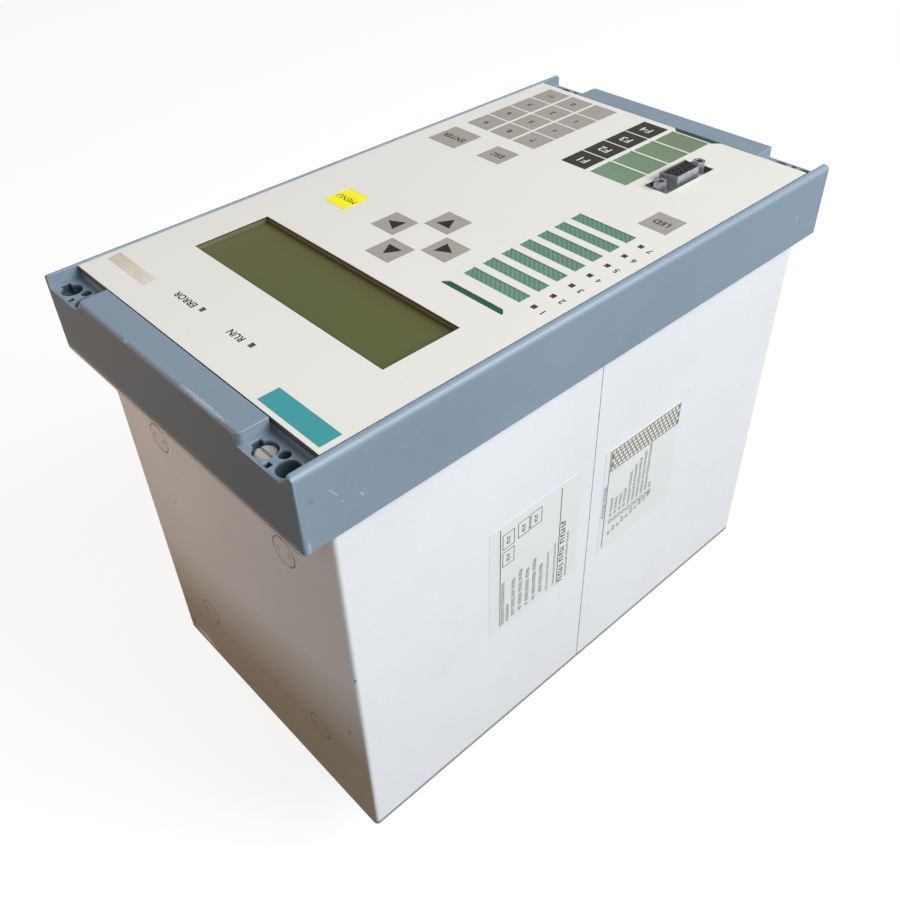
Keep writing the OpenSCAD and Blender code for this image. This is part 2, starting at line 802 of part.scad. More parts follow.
// Earthing screw with its captive washer
module earth_screw() {
    color("#c8b878") {
        bar_y(0, earth_z, earth_washer_r, panel_back, panel_back + earth_washer_t);
        rear_screw(0, earth_z, cover_head_r, cover_head_h, cover_shank_r,
                   panel_back + earth_washer_t, panel_y - earth_screw_l);
    }
}

// Service port on the rear panel, shell and insert in one piece
module rear_port() {
    color("#8d9194") {
        slab(0, port_out_z, port_flange[0], port_flange[1], panel_back, panel_back + port_flange[2]);
        along_y(panel_y - port_out_l, panel_back + port_shell_l) translate([0, port_out_z]) port_outline(0);
    }
}

// Middle of a screw bay, for side s and row i of rows
function bay_pitch(rows) = (terminal_h - bay_rib) / rows;
function bay_z(i, rows) = -terminal_h / 2 + bay_rib / 2 + bay_pitch(rows) * (i + 0.5);
function bay_x(s) = s * (terminal_w / 2 - bay_w / 2);

module terminal_block(rows) {
    difference() {
        union() {
            slab(0, 0, terminal_w, terminal_h, panel_back, terminal_back);
            terminal_root_shape(0);
        }
        for (s = [-1, 1], i = [0:rows - 1]) {
            slab(bay_x(s) + s * past / 2, bay_z(i, rows), bay_w + past, bay_pitch(rows) - bay_rib,
                 terminal_back - bay_d, terminal_back + past);
            bar_y(bay_x(s), bay_z(i, rows), terminal_shank_r + screw_play,
                  terminal_back - bay_d - terminal_shank_l, terminal_back);
        }
    }
}

module current_terminal_block() {
    color("#2a2b2c") at_current_block() terminal_block(current_rows);
}

module signal_terminal_blocks() {
    color("#2a2b2c") at_signal_blocks() terminal_block(signal_rows);
}

// Cheese-head screws in the bays of one block
module block_screws(rows, head_r) {
    seat = terminal_back - bay_d;
    for (s = [-1, 1], i = [0:rows - 1]) difference() {
        union() {
            bar_y(bay_x(s), bay_z(i, rows), head_r, seat, seat + terminal_head_h);
            bar_y(bay_x(s), bay_z(i, rows), terminal_shank_r,
                  seat - terminal_shank_l + shank_end_play, seat + terminal_head_h / 2);
        }
        slab(bay_x(s), bay_z(i, rows), 2 * head_r + past, terminal_slot_w,
             seat + terminal_head_h / 2, seat + terminal_head_h + past);
    }
}

module terminal_screws() {
    color("#c9cbc6") {
        at_signal_blocks() block_screws(signal_rows, signal_head_r);
        at_current_block() block_screws(current_rows, current_head_r);
    }
}

// Plug-in board in its guides, standing on the groove of the lower one
module card() {
    groove_z = inner_z - guide_h + guide_groove;
    block([board_x - board_t / 2, card_front, -groove_z],
          [board_x + board_t / 2, card_back, groove_z - card_play]);
}

module processor_board() {
    color("#2f6b3f") card();
}

module input_output_board() {
    color("#2f6b3f") mirror([1, 0, 0]) card();
}

// Rail with a groove for the board and two round pads that come through the case wall
module card_guide() {
    difference() {
        union() {
            block([board_x - guide_w / 2, guide_front, inner_z - guide_h],
                  [board_x + guide_w / 2, guide_back, inner_z]);
            for (y = pad_y) translate([board_x, y, inner_z - past])
                cylinder(r = pad_dia / 2, h = sheet_t + past);
        }
        block([board_x - board_t / 2 - fit_gap, guide_front - past, inner_z - guide_h - past],
              [board_x + board_t / 2 + fit_gap, guide_back + past, inner_z - guide_h + guide_groove]);
        for (y = pad_y, s = [-1, 1]) translate([board_x + s * pad_pit_x, y, case_h / 2 - pad_pit_d])
            cylinder(r = pad_pit_r, h = past, $fn = 24);
    }
}

module card_guides() {
    color("#c9ccc8") four_corners() card_guide();
}

// A part standing on the inner face of a board: depth out of the board, then size along y and z
module on_card(y, z, out, size_y, size_z) {
    face = board_x - board_t / 2;
    block([face - out, y - size_y / 2, z - size_z / 2], [face, y + size_y / 2, z + size_z / 2]);
}

// Two large square chips above a row of small ones
module logic_chips() {
    chip_y = 84;
    chip_z = 84;
    chip_pitch = 42;
    chip_w = 26;
    chip_t = 2.6;
    small_chip_z = 8;
    small_chip_w = 12;
    small_chip_h = 18;
    small_pitch = 20;
    color("#202022") {
        for (i = [0, 1]) on_card(chip_y, chip_z - i * chip_pitch, chip_t, chip_w, chip_w);
        for (i = [-1:1])
            on_card(chip_y + i * small_pitch, small_chip_z, chip_t, small_chip_w, small_chip_h);
    }
}

// Battery cell lying in a holder with two end cheeks
module buffer_battery() {
    cell_r = 8.5;
    cell_l = 26;
    cell_y = 128;
    cell_z = 60;
    base_t = 3;
    cheek_t = 3;
    cheek_h = 14;
    axis_x = board_x - board_t / 2 - cell_r - base_t / 2;
    color("#c7b64a") {
        on_card(cell_y, cell_z, base_t, 2 * cell_r, cell_l + 2 * cheek_t);
        for (s = [-1, 1])
            on_card(cell_y, cell_z + s * (cell_l + cheek_t) / 2, cheek_h, cheek_h, cheek_t);
        translate([axis_x, cell_y, cell_z - cell_l / 2]) cylinder(r = cell_r, h = cell_l);
    }
}

// Mains transformer of the supply: laminated core with the winding around its middle leg
module supply_transformer() {
    core_d = 26;
    core_w = 40;
    core_h = 34;
    winding_d = 32;
    winding_w = 24;
    winding_h = 48;
    middle_y = 112;
    middle_up = 54.5;
    middle_z = -inner_z + middle_up;
    color("#6b5a3a") {
        on_card(middle_y, middle_z, core_d, core_w, core_h);
        on_card(middle_y, middle_z, winding_d, winding_w, winding_h);
    }
}

module supply_capacitors() {
    can_r = 9;
    can_l = 28;
    can_y = 66;
    can_pitch = 20;
    can_up = 34.5;
    color("#3a4660") for (i = [0:2])
        translate([board_x - board_t / 2 - can_l, can_y, -inner_z + can_up + i * can_pitch])
            rotate([0, 90, 0]) cylinder(r = can_r, h = can_l);
}

// Current transformer: square core with a round winding on it
module input_transformer(z) {
    middle_y = 118;
    base_w = 36;
    base_d = 8;
    yoke_w = 14;
    yoke_d = 26;
    coil_r = 13;
    coil_l = 30;
    on_card(middle_y, z, base_d, base_w, base_w);
    on_card(middle_y, z, yoke_d, yoke_w, base_w);
    translate([board_x - board_t / 2 - coil_l, middle_y, z]) rotate([0, 90, 0])
        cylinder(r = coil_r, h = coil_l);
}

module input_transformers() {
    transformer_pitch = 42;
    color("#7a4a2c") mirror([1, 0, 0]) for (i = [-2:2]) input_transformer(i * transformer_pitch);
}

module output_relays() {
    relay_d = 15.7;
    relay_l = 29;
    relay_w = 12.7;
    relay_y = 58;
    relay_pitch = 26;
    color("#d8d6cf") mirror([1, 0, 0]) for (i = [-3.5:3.5])
        on_card(relay_y, i * relay_pitch, relay_d, relay_l, relay_w);
}

// Flat cables from the front board to the two plug-in boards, with a connector at each end
module ribbon_cable() {
    cable_t = 1;
    cable_foot = -42;
    cable_top = 2;
    plug = 6;
    run_x = 22;
    turn_y = 24;
    card_face = board_x - board_t / 2;
    along_z(cable_foot, cable_top) {
        translate([run_x - plug / 2, board_back]) square(plug);
        translate([run_x - cable_t / 2, board_back + plug / 2])
            square([cable_t, turn_y - board_back - plug / 2]);
        translate([run_x - cable_t / 2, turn_y - cable_t])
            square([card_face - plug / 2 - run_x, cable_t]);
        translate([card_face - plug, turn_y - cable_t / 2 - plug / 2]) square(plug);
    }
}

module ribbon_cables() {
    color("#8f9294") both_sides() ribbon_cable();
}

front_frame();
front_plate();
front_foil();
display_glass();
display_module();
status_leds();
indicator_leds();
led_label_strip();
function_label_strip();
port_shell();
port_insert();
port_posts();
front_board();
board_spacers();
key_switches();
cover_screws();
upper_shell();
lower_shell();
seam_straps();
rear_panel();
rear_panel_screws();
processor_board();
input_output_board();
logic_chips();
input_transformers();
output_relays();
supply_transformer();
supply_capacitors();
buffer_battery();
ribbon_cables();
card_guides();
current_terminal_block();
signal_terminal_blocks();
terminal_screws();
earth_screw();
rear_port();
for (k = keys) key_cap(k);
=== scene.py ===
"""Looks of a flush-mounting protection relay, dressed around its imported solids."""
import math

import bpy
from mathutils import Matrix, Vector


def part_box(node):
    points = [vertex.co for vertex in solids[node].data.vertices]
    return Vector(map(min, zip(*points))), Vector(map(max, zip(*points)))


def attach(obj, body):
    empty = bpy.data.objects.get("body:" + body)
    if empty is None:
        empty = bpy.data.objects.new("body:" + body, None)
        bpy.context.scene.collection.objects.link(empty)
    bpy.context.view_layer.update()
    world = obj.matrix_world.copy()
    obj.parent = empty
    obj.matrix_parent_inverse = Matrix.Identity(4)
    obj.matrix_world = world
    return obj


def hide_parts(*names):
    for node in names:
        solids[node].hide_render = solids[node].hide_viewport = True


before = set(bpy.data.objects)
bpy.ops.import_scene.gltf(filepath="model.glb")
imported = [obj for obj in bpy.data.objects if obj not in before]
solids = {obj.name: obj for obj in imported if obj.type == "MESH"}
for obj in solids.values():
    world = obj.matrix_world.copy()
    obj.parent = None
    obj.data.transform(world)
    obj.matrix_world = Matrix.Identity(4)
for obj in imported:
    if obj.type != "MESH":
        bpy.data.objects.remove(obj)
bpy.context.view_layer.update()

# Sizes, in metres
MM = 0.001
PRINT_T = 0.03 * MM
TAPE_T = 0.05 * MM
PAPER_T = 0.08 * MM
CAP_SHARE = 0.7                 # height of a capital letter for a text size of one
POCKET_D = 5 * MM
POCKET_L = 16 * MM              # how far the corner pockets reach in from the frame's ends
PANEL_TO_WALL = 1.7 * MM        # from the rear panel's edge to the outer face of the case wall
GLASS_LAP = 4 * MM              # how far the display glass runs on behind its opening
PAD_R = 6 * MM

# Faces and edges of the solids that print and finishes go by
foil_low, foil_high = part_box("front_foil")
frame_low, frame_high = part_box("front_frame")
shell_low, shell_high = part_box("upper_shell")
panel_low, panel_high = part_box("rear_panel")
glass_low, glass_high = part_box("display_glass")
front_y = foil_low.y
pocket_y = frame_low.y + POCKET_D
rear_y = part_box("signal_terminal_blocks")[1].y
flange_z = shell_high.z
left_wall_x = panel_low.x - PANEL_TO_WALL
end_wall_z = panel_high.z + PANEL_TO_WALL
foot_wall_z = panel_low.z - PANEL_TO_WALL
opening_left = glass_low.x + GLASS_LAP
opening_foot = glass_low.z + GLASS_LAP
opening_top = glass_high.z - GLASS_LAP


# Selection and edit mode

def choose(piece):
    """Makes one piece the only selected and active one."""
    bpy.ops.object.select_all(action="DESELECT")
    piece.select_set(True)
    bpy.context.view_layer.objects.active = piece


def start_edit(piece):
    """Opens one piece in edit mode with all of it selected."""
    choose(piece)
    bpy.ops.object.mode_set(mode="EDIT")
    bpy.ops.mesh.select_all(action="SELECT")


def end_edit():
    bpy.ops.object.mode_set(mode="OBJECT")


def settle(piece):
    """Puts a piece's place, turn and scale into its mesh."""
    choose(piece)
    bpy.ops.object.transform_apply(location=True, rotation=True, scale=True)


def finish_piece(piece, body, material):
    """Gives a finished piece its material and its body."""
    piece.data.materials.clear()
    piece.data.materials.append(material)
    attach(piece, body)


# Shader nodes

def plug(tree, socket, value):
    """Links a socket to an output, or sets it to a plain value."""
    if isinstance(value, bpy.types.NodeSocket):
        tree.links.new(value, socket)
    else:
        socket.default_value = value


def put(tree, kind, inputs=None, **settings):
    """Adds a shader node with its settings and inputs."""
    made = tree.nodes.new(kind)
    for name, value in settings.items():
        setattr(made, name, value)
    for name, value in (inputs or {}).items():
        plug(tree, made.inputs[name], value)
    return made


def sums(tree, operation, first, second=0.0):
    """One step of arithmetic on two values."""
    return put(tree, "ShaderNodeMath", {0: first, 1: second}, operation=operation).outputs[0]


def off(tree, value, middle):
    """How far a value lies from a middle one."""
    return sums(tree, "ABSOLUTE", sums(tree, "SUBTRACT", value, middle))


def mixed(tree, factor, first, second):
    """A colour between two others."""
    return put(tree, "ShaderNodeMix", {0: factor, 6: first, 7: second}, data_type="RGBA").outputs[2]


def ranged(tree, value, low, high, out_low=0.0, out_high=1.0):
    """A value stretched from one range to another and held within it."""
    return put(tree, "ShaderNodeMapRange", {
        "Value": value, "From Min": low, "From Max": high,
        "To Min": out_low, "To Max": out_high}).outputs["Result"]


def stretch(tree, value, start, full, fading, end):
    """Mask of a stretch: it rises from start to full, and falls from fading to end."""
    return sums(tree, "MULTIPLY", ranged(tree, value, start, full), ranged(tree, value, end, fading))


def new_group(name, inputs, outputs):
    """An empty node group with float sockets of the given names and values."""
    group = bpy.data.node_groups.new(name, "ShaderNodeTree")
    for label, value in inputs.items():
        socket = group.interface.new_socket(label, in_out="INPUT", socket_type="NodeSocketFloat")
        socket.default_value = value
    for label in outputs:
        group.interface.new_socket(label, in_out="OUTPUT", socket_type="NodeSocketFloat")
    return group, group.nodes.new("NodeGroupInput").outputs, group.nodes.new("NodeGroupOutput").inputs


def object_place(tree):
    return tree.nodes.new("ShaderNodeTexCoord").outputs["Object"]


def object_axes(tree):
    """The X, Y and Z of a point on a piece."""
    return put(tree, "ShaderNodeSeparateXYZ", {0: object_place(tree)}).outputs


def make_grain():
    """Fine surface grain, and a slow change of tone over the whole piece."""
    tree, given, result = new_group(
        "surface grain", {"Grain per metre": 2500.0, "Tone per metre": 18.0}, ["Grain", "Tone"])
    place = object_place(tree)
    fine = put(tree, "ShaderNodeTexNoise", {
        "Vector": place, "Scale": given["Grain per metre"], "Detail": 3.0, "Roughness": 0.55})
    slow = put(tree, "ShaderNodeTexNoise", {
        "Vector": place, "Scale": given["Tone per metre"], "Detail": 4.0, "Roughness": 0.6})
    plug(tree, result["Grain"], fine.outputs[0])
    plug(tree, result["Tone"], ranged(tree, slow.outputs[0], 0.3, 0.7))
    return tree


def make_edge_wear():
    """Mask of rubbed edges, broken up by noise."""
    tree, given, result = new_group(
        "edge wear", {"Width": 0.0006, "Breaks per metre": 90.0, "Amount": 1.0}, ["Wear"])
    round_normal = put(tree, "ShaderNodeBevel", {"Radius": given["Width"]}, samples=6).outputs[0]
    flat_normal = tree.nodes.new("ShaderNodeNewGeometry").outputs["Normal"]
    turn = put(tree, "ShaderNodeVectorMath", {0: round_normal, 1: flat_normal}, operation="DOT_PRODUCT")
    edge = ranged(tree, turn.outputs["Value"], 0.995, 0.86)
    breaks = put(tree, "ShaderNodeTexNoise", {
        "Vector": object_place(tree), "Scale": given["Breaks per metre"], "Detail": 6.0, "Roughness": 0.65})
    rubbed = sums(tree, "MULTIPLY", edge, ranged(tree, breaks.outputs[0], 0.46, 0.66))
    plug(tree, result["Wear"], sums(tree, "MULTIPLY", rubbed, given["Amount"]))
    return tree


def make_scuffs():
    """Mask of a few short thin scratches and small marks."""
    tree, given, result = new_group(
        "scuffs", {"Marks per metre": 26.0, "Amount": 1.0}, ["Scuff"])
    place = object_place(tree)
    turned = put(tree, "ShaderNodeMapping", {
        "Vector": place, "Rotation": (0.4, 0.9, 0.6), "Scale": (1.0, 9.0, 1.0)}).outputs[0]
    streak = put(tree, "ShaderNodeTexNoise", {
        "Vector": turned, "Scale": sums(tree, "MULTIPLY", given["Marks per metre"], 9.0),
        "Detail": 2.0, "Roughness": 0.5})
    patch = put(tree, "ShaderNodeTexNoise", {
        "Vector": place, "Scale": given["Marks per metre"], "Detail": 2.0})
    thin = ranged(tree, streak.outputs[0], 0.70, 0.75)
    where = ranged(tree, patch.outputs[0], 0.56, 0.66)
    plug(tree, result["Scuff"], sums(tree, "MULTIPLY", sums(tree, "MULTIPLY", thin, where), given["Amount"]))
    return tree


def make_dust():
    """Mask of thin dust and handling soil, in soft clouds with specks."""
    tree, given, result = new_group(
        "dust", {"Clouds per metre": 22.0, "Specks per metre": 700.0}, ["Dust", "Speck"])
    place = object_place(tree)
    cloud = put(tree, "ShaderNodeTexNoise", {
        "Vector": place, "Scale": given["Clouds per metre"], "Detail": 6.0, "Roughness": 0.62})
    speck = put(tree, "ShaderNodeTexNoise", {
        "Vector": place, "Scale": given["Specks per metre"], "Detail": 1.0})
    plug(tree, result["Dust"], ranged(tree, cloud.outputs[0], 0.42, 0.75))
    plug(tree, result["Speck"], ranged(tree, speck.outputs[0], 0.79, 0.83))
    return tree


grain_group = make_grain()
edge_group = make_edge_wear()
scuff_group = make_scuffs()
dust_group = make_dust()


def placed(tree, group, **values):
    """Places a node group in a material with its own values."""
    made = put(tree, "ShaderNodeGroup", node_tree=group)
    for name, value in values.items():
        plug(tree, made.inputs[name.replace("_", " ")], value)
    return made.outputs


def new_material(name, **sockets):
    """A material with one Principled shader: returns it, its tree and the shader's inputs."""
    material = bpy.data.materials.new(name)
    material.use_nodes = True
    tree = material.node_tree
    shader = tree.nodes["Principled BSDF"]
    for label, value in sockets.items():
        shader.inputs[label.replace("_", " ")].default_value = value
    return material, tree, shader.inputs


def colour(red, green, blue):
    """A colour from 0 to 255 display values, as the shader takes it."""
    linear = [((v / 255 + 0.055) / 1.055) ** 2.4 if v > 10 else v / 255 / 12.92 for v in (red, green, blue)]
    return (*linear, 1.0)


def bumped(tree, height, depth, round_edge=0.0):
    """A normal from a height, over edges that may be rounded a little."""
    made = put(tree, "ShaderNodeBump", {"Height": height, "Distance": depth, "Strength": 1.0})
    if round_edge:
        edge = put(tree, "ShaderNodeBevel", {"Radius": round_edge}, samples=4)
        plug(tree, made.inputs["Normal"], edge.outputs[0])
    return made.outputs[0]


def spot(tree, place, centre, half_sizes, turn=(0.0, 0.0, 0.0)):
    """Mask of one mark: its middle and half sizes in millimetres, with a ragged outline."""
    local = put(tree, "ShaderNodeMapping", {
        "Vector": place, "Location": [c * MM for c in centre], "Rotation": turn,
        "Scale": [h * MM for h in half_sizes]}, vector_type="TEXTURE").outputs[0]
    away = put(tree, "ShaderNodeVectorMath", {0: local}, operation="LENGTH").outputs["Value"]
    ragged = put(tree, "ShaderNodeTexNoise", {"Vector": place, "Scale": 900.0, "Detail": 3.0}).outputs[0]
    return ranged(tree, sums(tree, "ADD", away, ranged(tree, ragged, 0.3, 0.7, -0.35, 0.35)), 1.0, 0.75)


def spots(tree, place, marks):
    """Mask of several marks together."""
    together = 0.0
    for mark in marks:
        together = sums(tree, "MAXIMUM", together, spot(tree, place, *mark))
    return together


# Finishes

# Marks of use as the photograph shows them: middle and half sizes in millimetres, and a turn
FRAME_RUBS = [
    ((-30, -30.1, 132.0), (13.5, 0.8, 1.1)),
    ((15.8, -30.1, 132.6), (1.6, 0.8, 0.8)),
    ((-75, -17.6, 120.6), (0.4, 2.6, 0.25), (-0.55, 0, 0)),
    ((-75, -12.4, 117.8), (0.4, 0.6, 0.5)),
    ((-75, -10.8, 111.1), (0.4, 1.3, 0.3), (-0.6, 0, 0)),
    ((-75, -2.0, 130.9), (0.5, 3.4, 0.5)),
    ((-75, -13.1, -114.7), (0.4, 1.6, 0.5))]
FRAME_SMUDGES = [((-19.3, -27.2, 133), (0.7, 0.7, 0.4)), ((-75, -19.1, 128.3), (0.4, 1.0, 1.2))]
PAINT_CHIPS = [
    ((-72.4, 73.5, 122), (0.9, 1.6, 1.2)),
    ((-63.6, 114, 122), (0.8, 1.1, 0.6)),
    ((66.4, 163.9, 122), (0.8, 2.4, 0.8))]
PALE_CHIPS = [((56.5, 168.0, 122), (9.0, 1.9, 0.8), (0, 0, -0.06))]

# Middles of the round pads in the top end wall, across and in depth, in millimetres
PADS = [(-41, 32), (-41, 135), (41, 32), (41, 135)]

# Painted shade: a brownish grey that darkens the top end wall towards its rear edge.
END_SHADE_TONE = colour(182, 173, 156)
END_SHADE_Y = (92 * MM, 140 * MM)   # depths between which the painted shade sets in
END_SHADE_SLANT = 0.15              # how much deeper the painted shade starts to the right, for a width of one


def end_grime(tree, axes):
    """Masks of the top end wall and of the painted shade that deepens towards its rear edge."""
    slanted = sums(tree, "SUBTRACT", axes["Y"], sums(tree, "MULTIPLY", axes["X"], END_SHADE_SLANT))
    on_end = ranged(tree, axes["Z"], end_wall_z - 0.9 * MM, end_wall_z - 0.5 * MM)
    return on_end, sums(tree, "MULTIPLY", ranged(tree, slanted, *END_SHADE_Y), on_end)


def pocket_shade(tree, tone):
    """The frame's tone, with painted shade deep in the drilled pockets and a brown painted shade on the top
    end face.
    """
    axes = object_axes(tree)
    side_x = sums(tree, "ABSOLUTE", axes["X"])
    end_z = sums(tree, "ABSOLUTE", axes["Z"])
    inside_rim = ranged(tree, side_x, frame_high.x - 1.0 * MM, frame_high.x - 1.4 * MM)
    pocket_start = frame_high.z - POCKET_L
    along = stretch(tree, end_z, pocket_start, pocket_start + 1.0 * MM,
                    frame_high.z - 0.8 * MM, frame_high.z - 0.4 * MM)
    # Painted shade: deep in the pockets the tone turns dark blue grey.
    deep = ranged(tree, axes["Y"], pocket_y + 0.05 * MM, pocket_y + 1.1 * MM, 0.0, 0.92)
    deep = sums(tree, "MULTIPLY", deep, sums(tree, "MULTIPLY", along, inside_rim))
    tone = mixed(tree, deep, tone, colour(58, 73, 84))
    # Painted shade: a warm brown on the top end face, which lies in shade.
    film = ranged(tree, axes["Z"], frame_high.z - 0.15 * MM, frame_high.z - 0.05 * MM, 0.0, 0.32)
    return mixed(tree, film, tone, colour(96, 88, 78))


def moulded_plastic(name, base, light, dark, wear=0.55, pale_marks=(), dark_marks=(), pockets=False,
                    end_shade=False):
    """Satin moulded plastic with rubbed edges, scuffs and handling soil, and painted shade in the pockets
    and on the top end where asked.
    """
    material, tree, shader = new_material(name, Specular_IOR_Level=0.5)
    surface = placed(tree, grain_group, Grain_per_metre=2600.0, Tone_per_metre=14.0)
    edge = placed(tree, edge_group, Width=0.9 * MM, Breaks_per_metre=120.0, Amount=wear)["Wear"]
    scuff = placed(tree, scuff_group, Marks_per_metre=24.0, Amount=0.55)["Scuff"]
    soil = placed(tree, dust_group, Clouds_per_metre=16.0, Specks_per_metre=500.0)
    tone = mixed(tree, surface["Tone"], base, mixed(tree, 0.12, base, dark))
    tone = mixed(tree, sums(tree, "MULTIPLY", soil["Dust"], 0.16), tone, dark)
    tone = mixed(tree, sums(tree, "MAXIMUM", edge, scuff), tone, light)
    if pale_marks or dark_marks:
        place = object_place(tree)
        tone = mixed(tree, sums(tree, "MULTIPLY", spots(tree, place, pale_marks), 0.45), tone, light)
        tone = mixed(tree, sums(tree, "MULTIPLY", spots(tree, place, dark_marks), 0.3), tone, dark)
    # Painted shade in the pockets and on the top end face.
    if pockets:
        tone = pocket_shade(tree, tone)
    # Painted shade towards the rear of the top end, for the pads set in it.
    if end_shade:
        tone = mixed(tree, end_grime(tree, object_axes(tree))[1], tone, END_SHADE_TONE)
    plug(tree, shader["Base Color"], tone)
    plug(tree, shader["Roughness"], ranged(tree, surface["Tone"], 0.0, 1.0, 0.37, 0.49))
    plug(tree, shader["Normal"], bumped(tree, surface["Grain"], 0.012 * MM))
    return material


def dirty_pad_gaps(tree, axes, on_end, tone):
    """The paint's tone, with a dark ring of painted shade about the gaps around the round pads."""
    seen_from_end = put(tree, "ShaderNodeCombineXYZ", {"X": axes["X"], "Y": axes["Y"]}).outputs[0]
    for pad_x, pad_y in PADS:
        from_pad = put(tree, "ShaderNodeVectorMath", {0: seen_from_end, 1: (pad_x * MM, pad_y * MM, 0)},
                       operation="DISTANCE").outputs["Value"]
        gap = sums(tree, "MULTIPLY", ranged(tree, from_pad, PAD_R + 0.55 * MM, PAD_R + 0.4 * MM), on_end)
        # Painted shade: a dark ring just outside each pad's gap.
        tone = mixed(tree, sums(tree, "MULTIPLY", gap, 0.75), tone, colour(118, 108, 97))
    return tone


def flange_edges(tree, axes, tone):
    """The paint's tone, with the flanges' cut ends in painted shade about a painted highlight line, and
    painted shadow behind the frame.
    """
    line_depth = 0.75 * MM
    end_z = sums(tree, "ABSOLUTE", axes["Z"])
    depth = sums(tree, "SUBTRACT", axes["Y"], shell_low.y)
    # Painted highlight: a bright line along each flange's front edge, between dark painted shade.
    painted_highlight_line = ranged(tree, off(tree, depth, line_depth), 0.5 * MM, 0.35 * MM)
    flange_light_and_shade = mixed(tree, painted_highlight_line, colour(40, 36, 31), colour(255, 253, 248))
    cut_end = ranged(tree, end_z, flange_z - 0.12 * MM, flange_z - 0.06 * MM)
    tone = mixed(tree, cut_end, tone, flange_light_and_shade)
    # Painted shadow where the frame covers the flange.
    shadow_behind_frame = sums(tree, "MULTIPLY", ranged(tree, depth, 0.3 * MM, 0.1 * MM),
                   ranged(tree, end_z, flange_z - 0.42 * MM, flange_z - 0.5 * MM))
    return mixed(tree, shadow_behind_frame, tone, colour(52, 50, 47))


def powder_paint():
    """White orange-peel paint on sheet, with soil in clouds, specks and chips, and painted light and shade
    on its ends, edges and flanges.
    """
    material, tree, shader = new_material("case paint", Specular_IOR_Level=0.5)
    peel = placed(tree, grain_group, Grain_per_metre=620.0, Tone_per_metre=9.0)
    soil = placed(tree, dust_group, Clouds_per_metre=14.0, Specks_per_metre=420.0)
    edge = placed(tree, edge_group, Width=0.7 * MM, Breaks_per_metre=140.0, Amount=0.35)["Wear"]
    place = object_place(tree)
    axes = object_axes(tree)
    tone = mixed(tree, peel["Tone"], colour(232, 237, 243), colour(226, 231, 237))
    tone = mixed(tree, sums(tree, "MULTIPLY", soil["Dust"], 0.14), tone, colour(200, 198, 192))
    tone = mixed(tree, sums(tree, "MULTIPLY", soil["Speck"], 0.5), tone, colour(150, 145, 138))
    tone = mixed(tree, edge, tone, colour(170, 168, 164))
    # Painted shade: a grey band along the shells' rear edges and over the foot wall, where they turn away
    # from the light.
    rear_edge = ranged(tree, axes["Y"], shell_high.y - 2.2 * MM, shell_high.y - 1.4 * MM)
    foot_wall = ranged(tree, axes["Z"], foot_wall_z + 1.3 * MM, foot_wall_z + 0.8 * MM)
    tone = mixed(tree, sums(tree, "MAXIMUM", rear_edge, foot_wall), tone, colour(146, 141, 135))
    # Painted shade: the top end wall darkens towards its rear edge.
    on_end, end_shade = end_grime(tree, axes)
    tone = mixed(tree, end_shade, tone, END_SHADE_TONE)
    # Painted shade about the round pads.
    tone = dirty_pad_gaps(tree, axes, on_end, tone)
    # Painted light and shade on the flanges' ends.
    tone = flange_edges(tree, axes, tone)
    tone = mixed(tree, spots(tree, place, PAINT_CHIPS), tone, colour(112, 104, 95))
    tone = mixed(tree, spots(tree, place, PALE_CHIPS), tone, colour(240, 235, 225))
    plug(tree, shader["Base Color"], tone)
    plug(tree, shader["Roughness"], ranged(tree, peel["Tone"], 0.0, 1.0, 0.36, 0.46))
    plug(tree, shader["Normal"], bumped(tree, peel["Grain"], 0.055 * MM))
    return material


def printed_foil(name, base, rough=0.38, soil_share=0.12, round_edge=0.0):
    """Smooth satin film with a faint texture and a little soil."""
    material, tree, shader = new_material(name, Specular_IOR_Level=0.5)
    surface = placed(tree, grain_group, Grain_per_metre=5200.0, Tone_per_metre=11.0)
    soil = placed(tree, dust_group, Clouds_per_metre=26.0, Specks_per_metre=900.0)
    scuff = placed(tree, scuff_group, Marks_per_metre=30.0, Amount=0.22)["Scuff"]
    darker = (*[0.82 * c for c in base[:3]], 1.0)
    tone = mixed(tree, sums(tree, "MULTIPLY", surface["Tone"], 0.12), base, darker)
    tone = mixed(tree, sums(tree, "MULTIPLY", soil["Dust"], soil_share), tone, darker)
    tone = mixed(tree, scuff, tone, colour(205, 203, 196))
    plug(tree, shader["Base Color"], tone)
    plug(tree, shader["Roughness"], ranged(tree, surface["Tone"], 0.0, 1.0, rough - 0.04, rough + 0.05))
    plug(tree, shader["Normal"], bumped(tree, surface["Grain"], 0.004 * MM, round_edge))
    return material


def label_strip(node, name, base, faded, dark, stripe, weave, slit_low, slit_high, slit_shade):
    """Green label strip, faded towards its foot, with a fine weave, and dark painted shade where it shows
    through its slit.
    """
    low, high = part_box(node)
    material, tree, shader = new_material(name, Roughness=0.45)
    surface = placed(tree, grain_group, Grain_per_metre=3800.0, Tone_per_metre=60.0)
    axes = object_axes(tree)
    slant = sums(tree, "ADD", axes["X"], sums(tree, "MULTIPLY", axes["Z"], 0.94))
    stripes = sums(tree, "PINGPONG", sums(tree, "MULTIPLY", slant, 2.0 / stripe), 1.0)
    cross = sums(tree, "SUBTRACT", axes["X"], axes["Z"])
    fine = sums(tree, "PINGPONG", sums(tree, "MULTIPLY", cross, 2.0 / (0.45 * stripe)), 1.0)
    tone = mixed(tree, ranged(tree, axes["Z"], high.z, low.z), base, faded)
    tone = mixed(tree, ranged(tree, stripes, 0.30, 0.70, 0.0, weave), tone, dark)
    tone = mixed(tree, ranged(tree, fine, 0.30, 0.80, 0.0, 0.6 * weave), tone, dark)
    tone = mixed(tree, sums(tree, "MULTIPLY", surface["Tone"], 0.20), tone, dark)
    # Painted shade: the strip turns dark green where it lies in the slit's shadow.
    half_slit = 0.5 * (slit_high - slit_low)
    off_slit = off(tree, axes["Z"], 0.5 * (slit_low + slit_high))
    tone = mixed(tree, ranged(tree, off_slit, half_slit + 0.1 * MM, half_slit), tone, slit_shade)
    plug(tree, shader["Base Color"], tone)
    plug(tree, shader["Normal"], bumped(tree, surface["Grain"], 0.01 * MM))
    return material


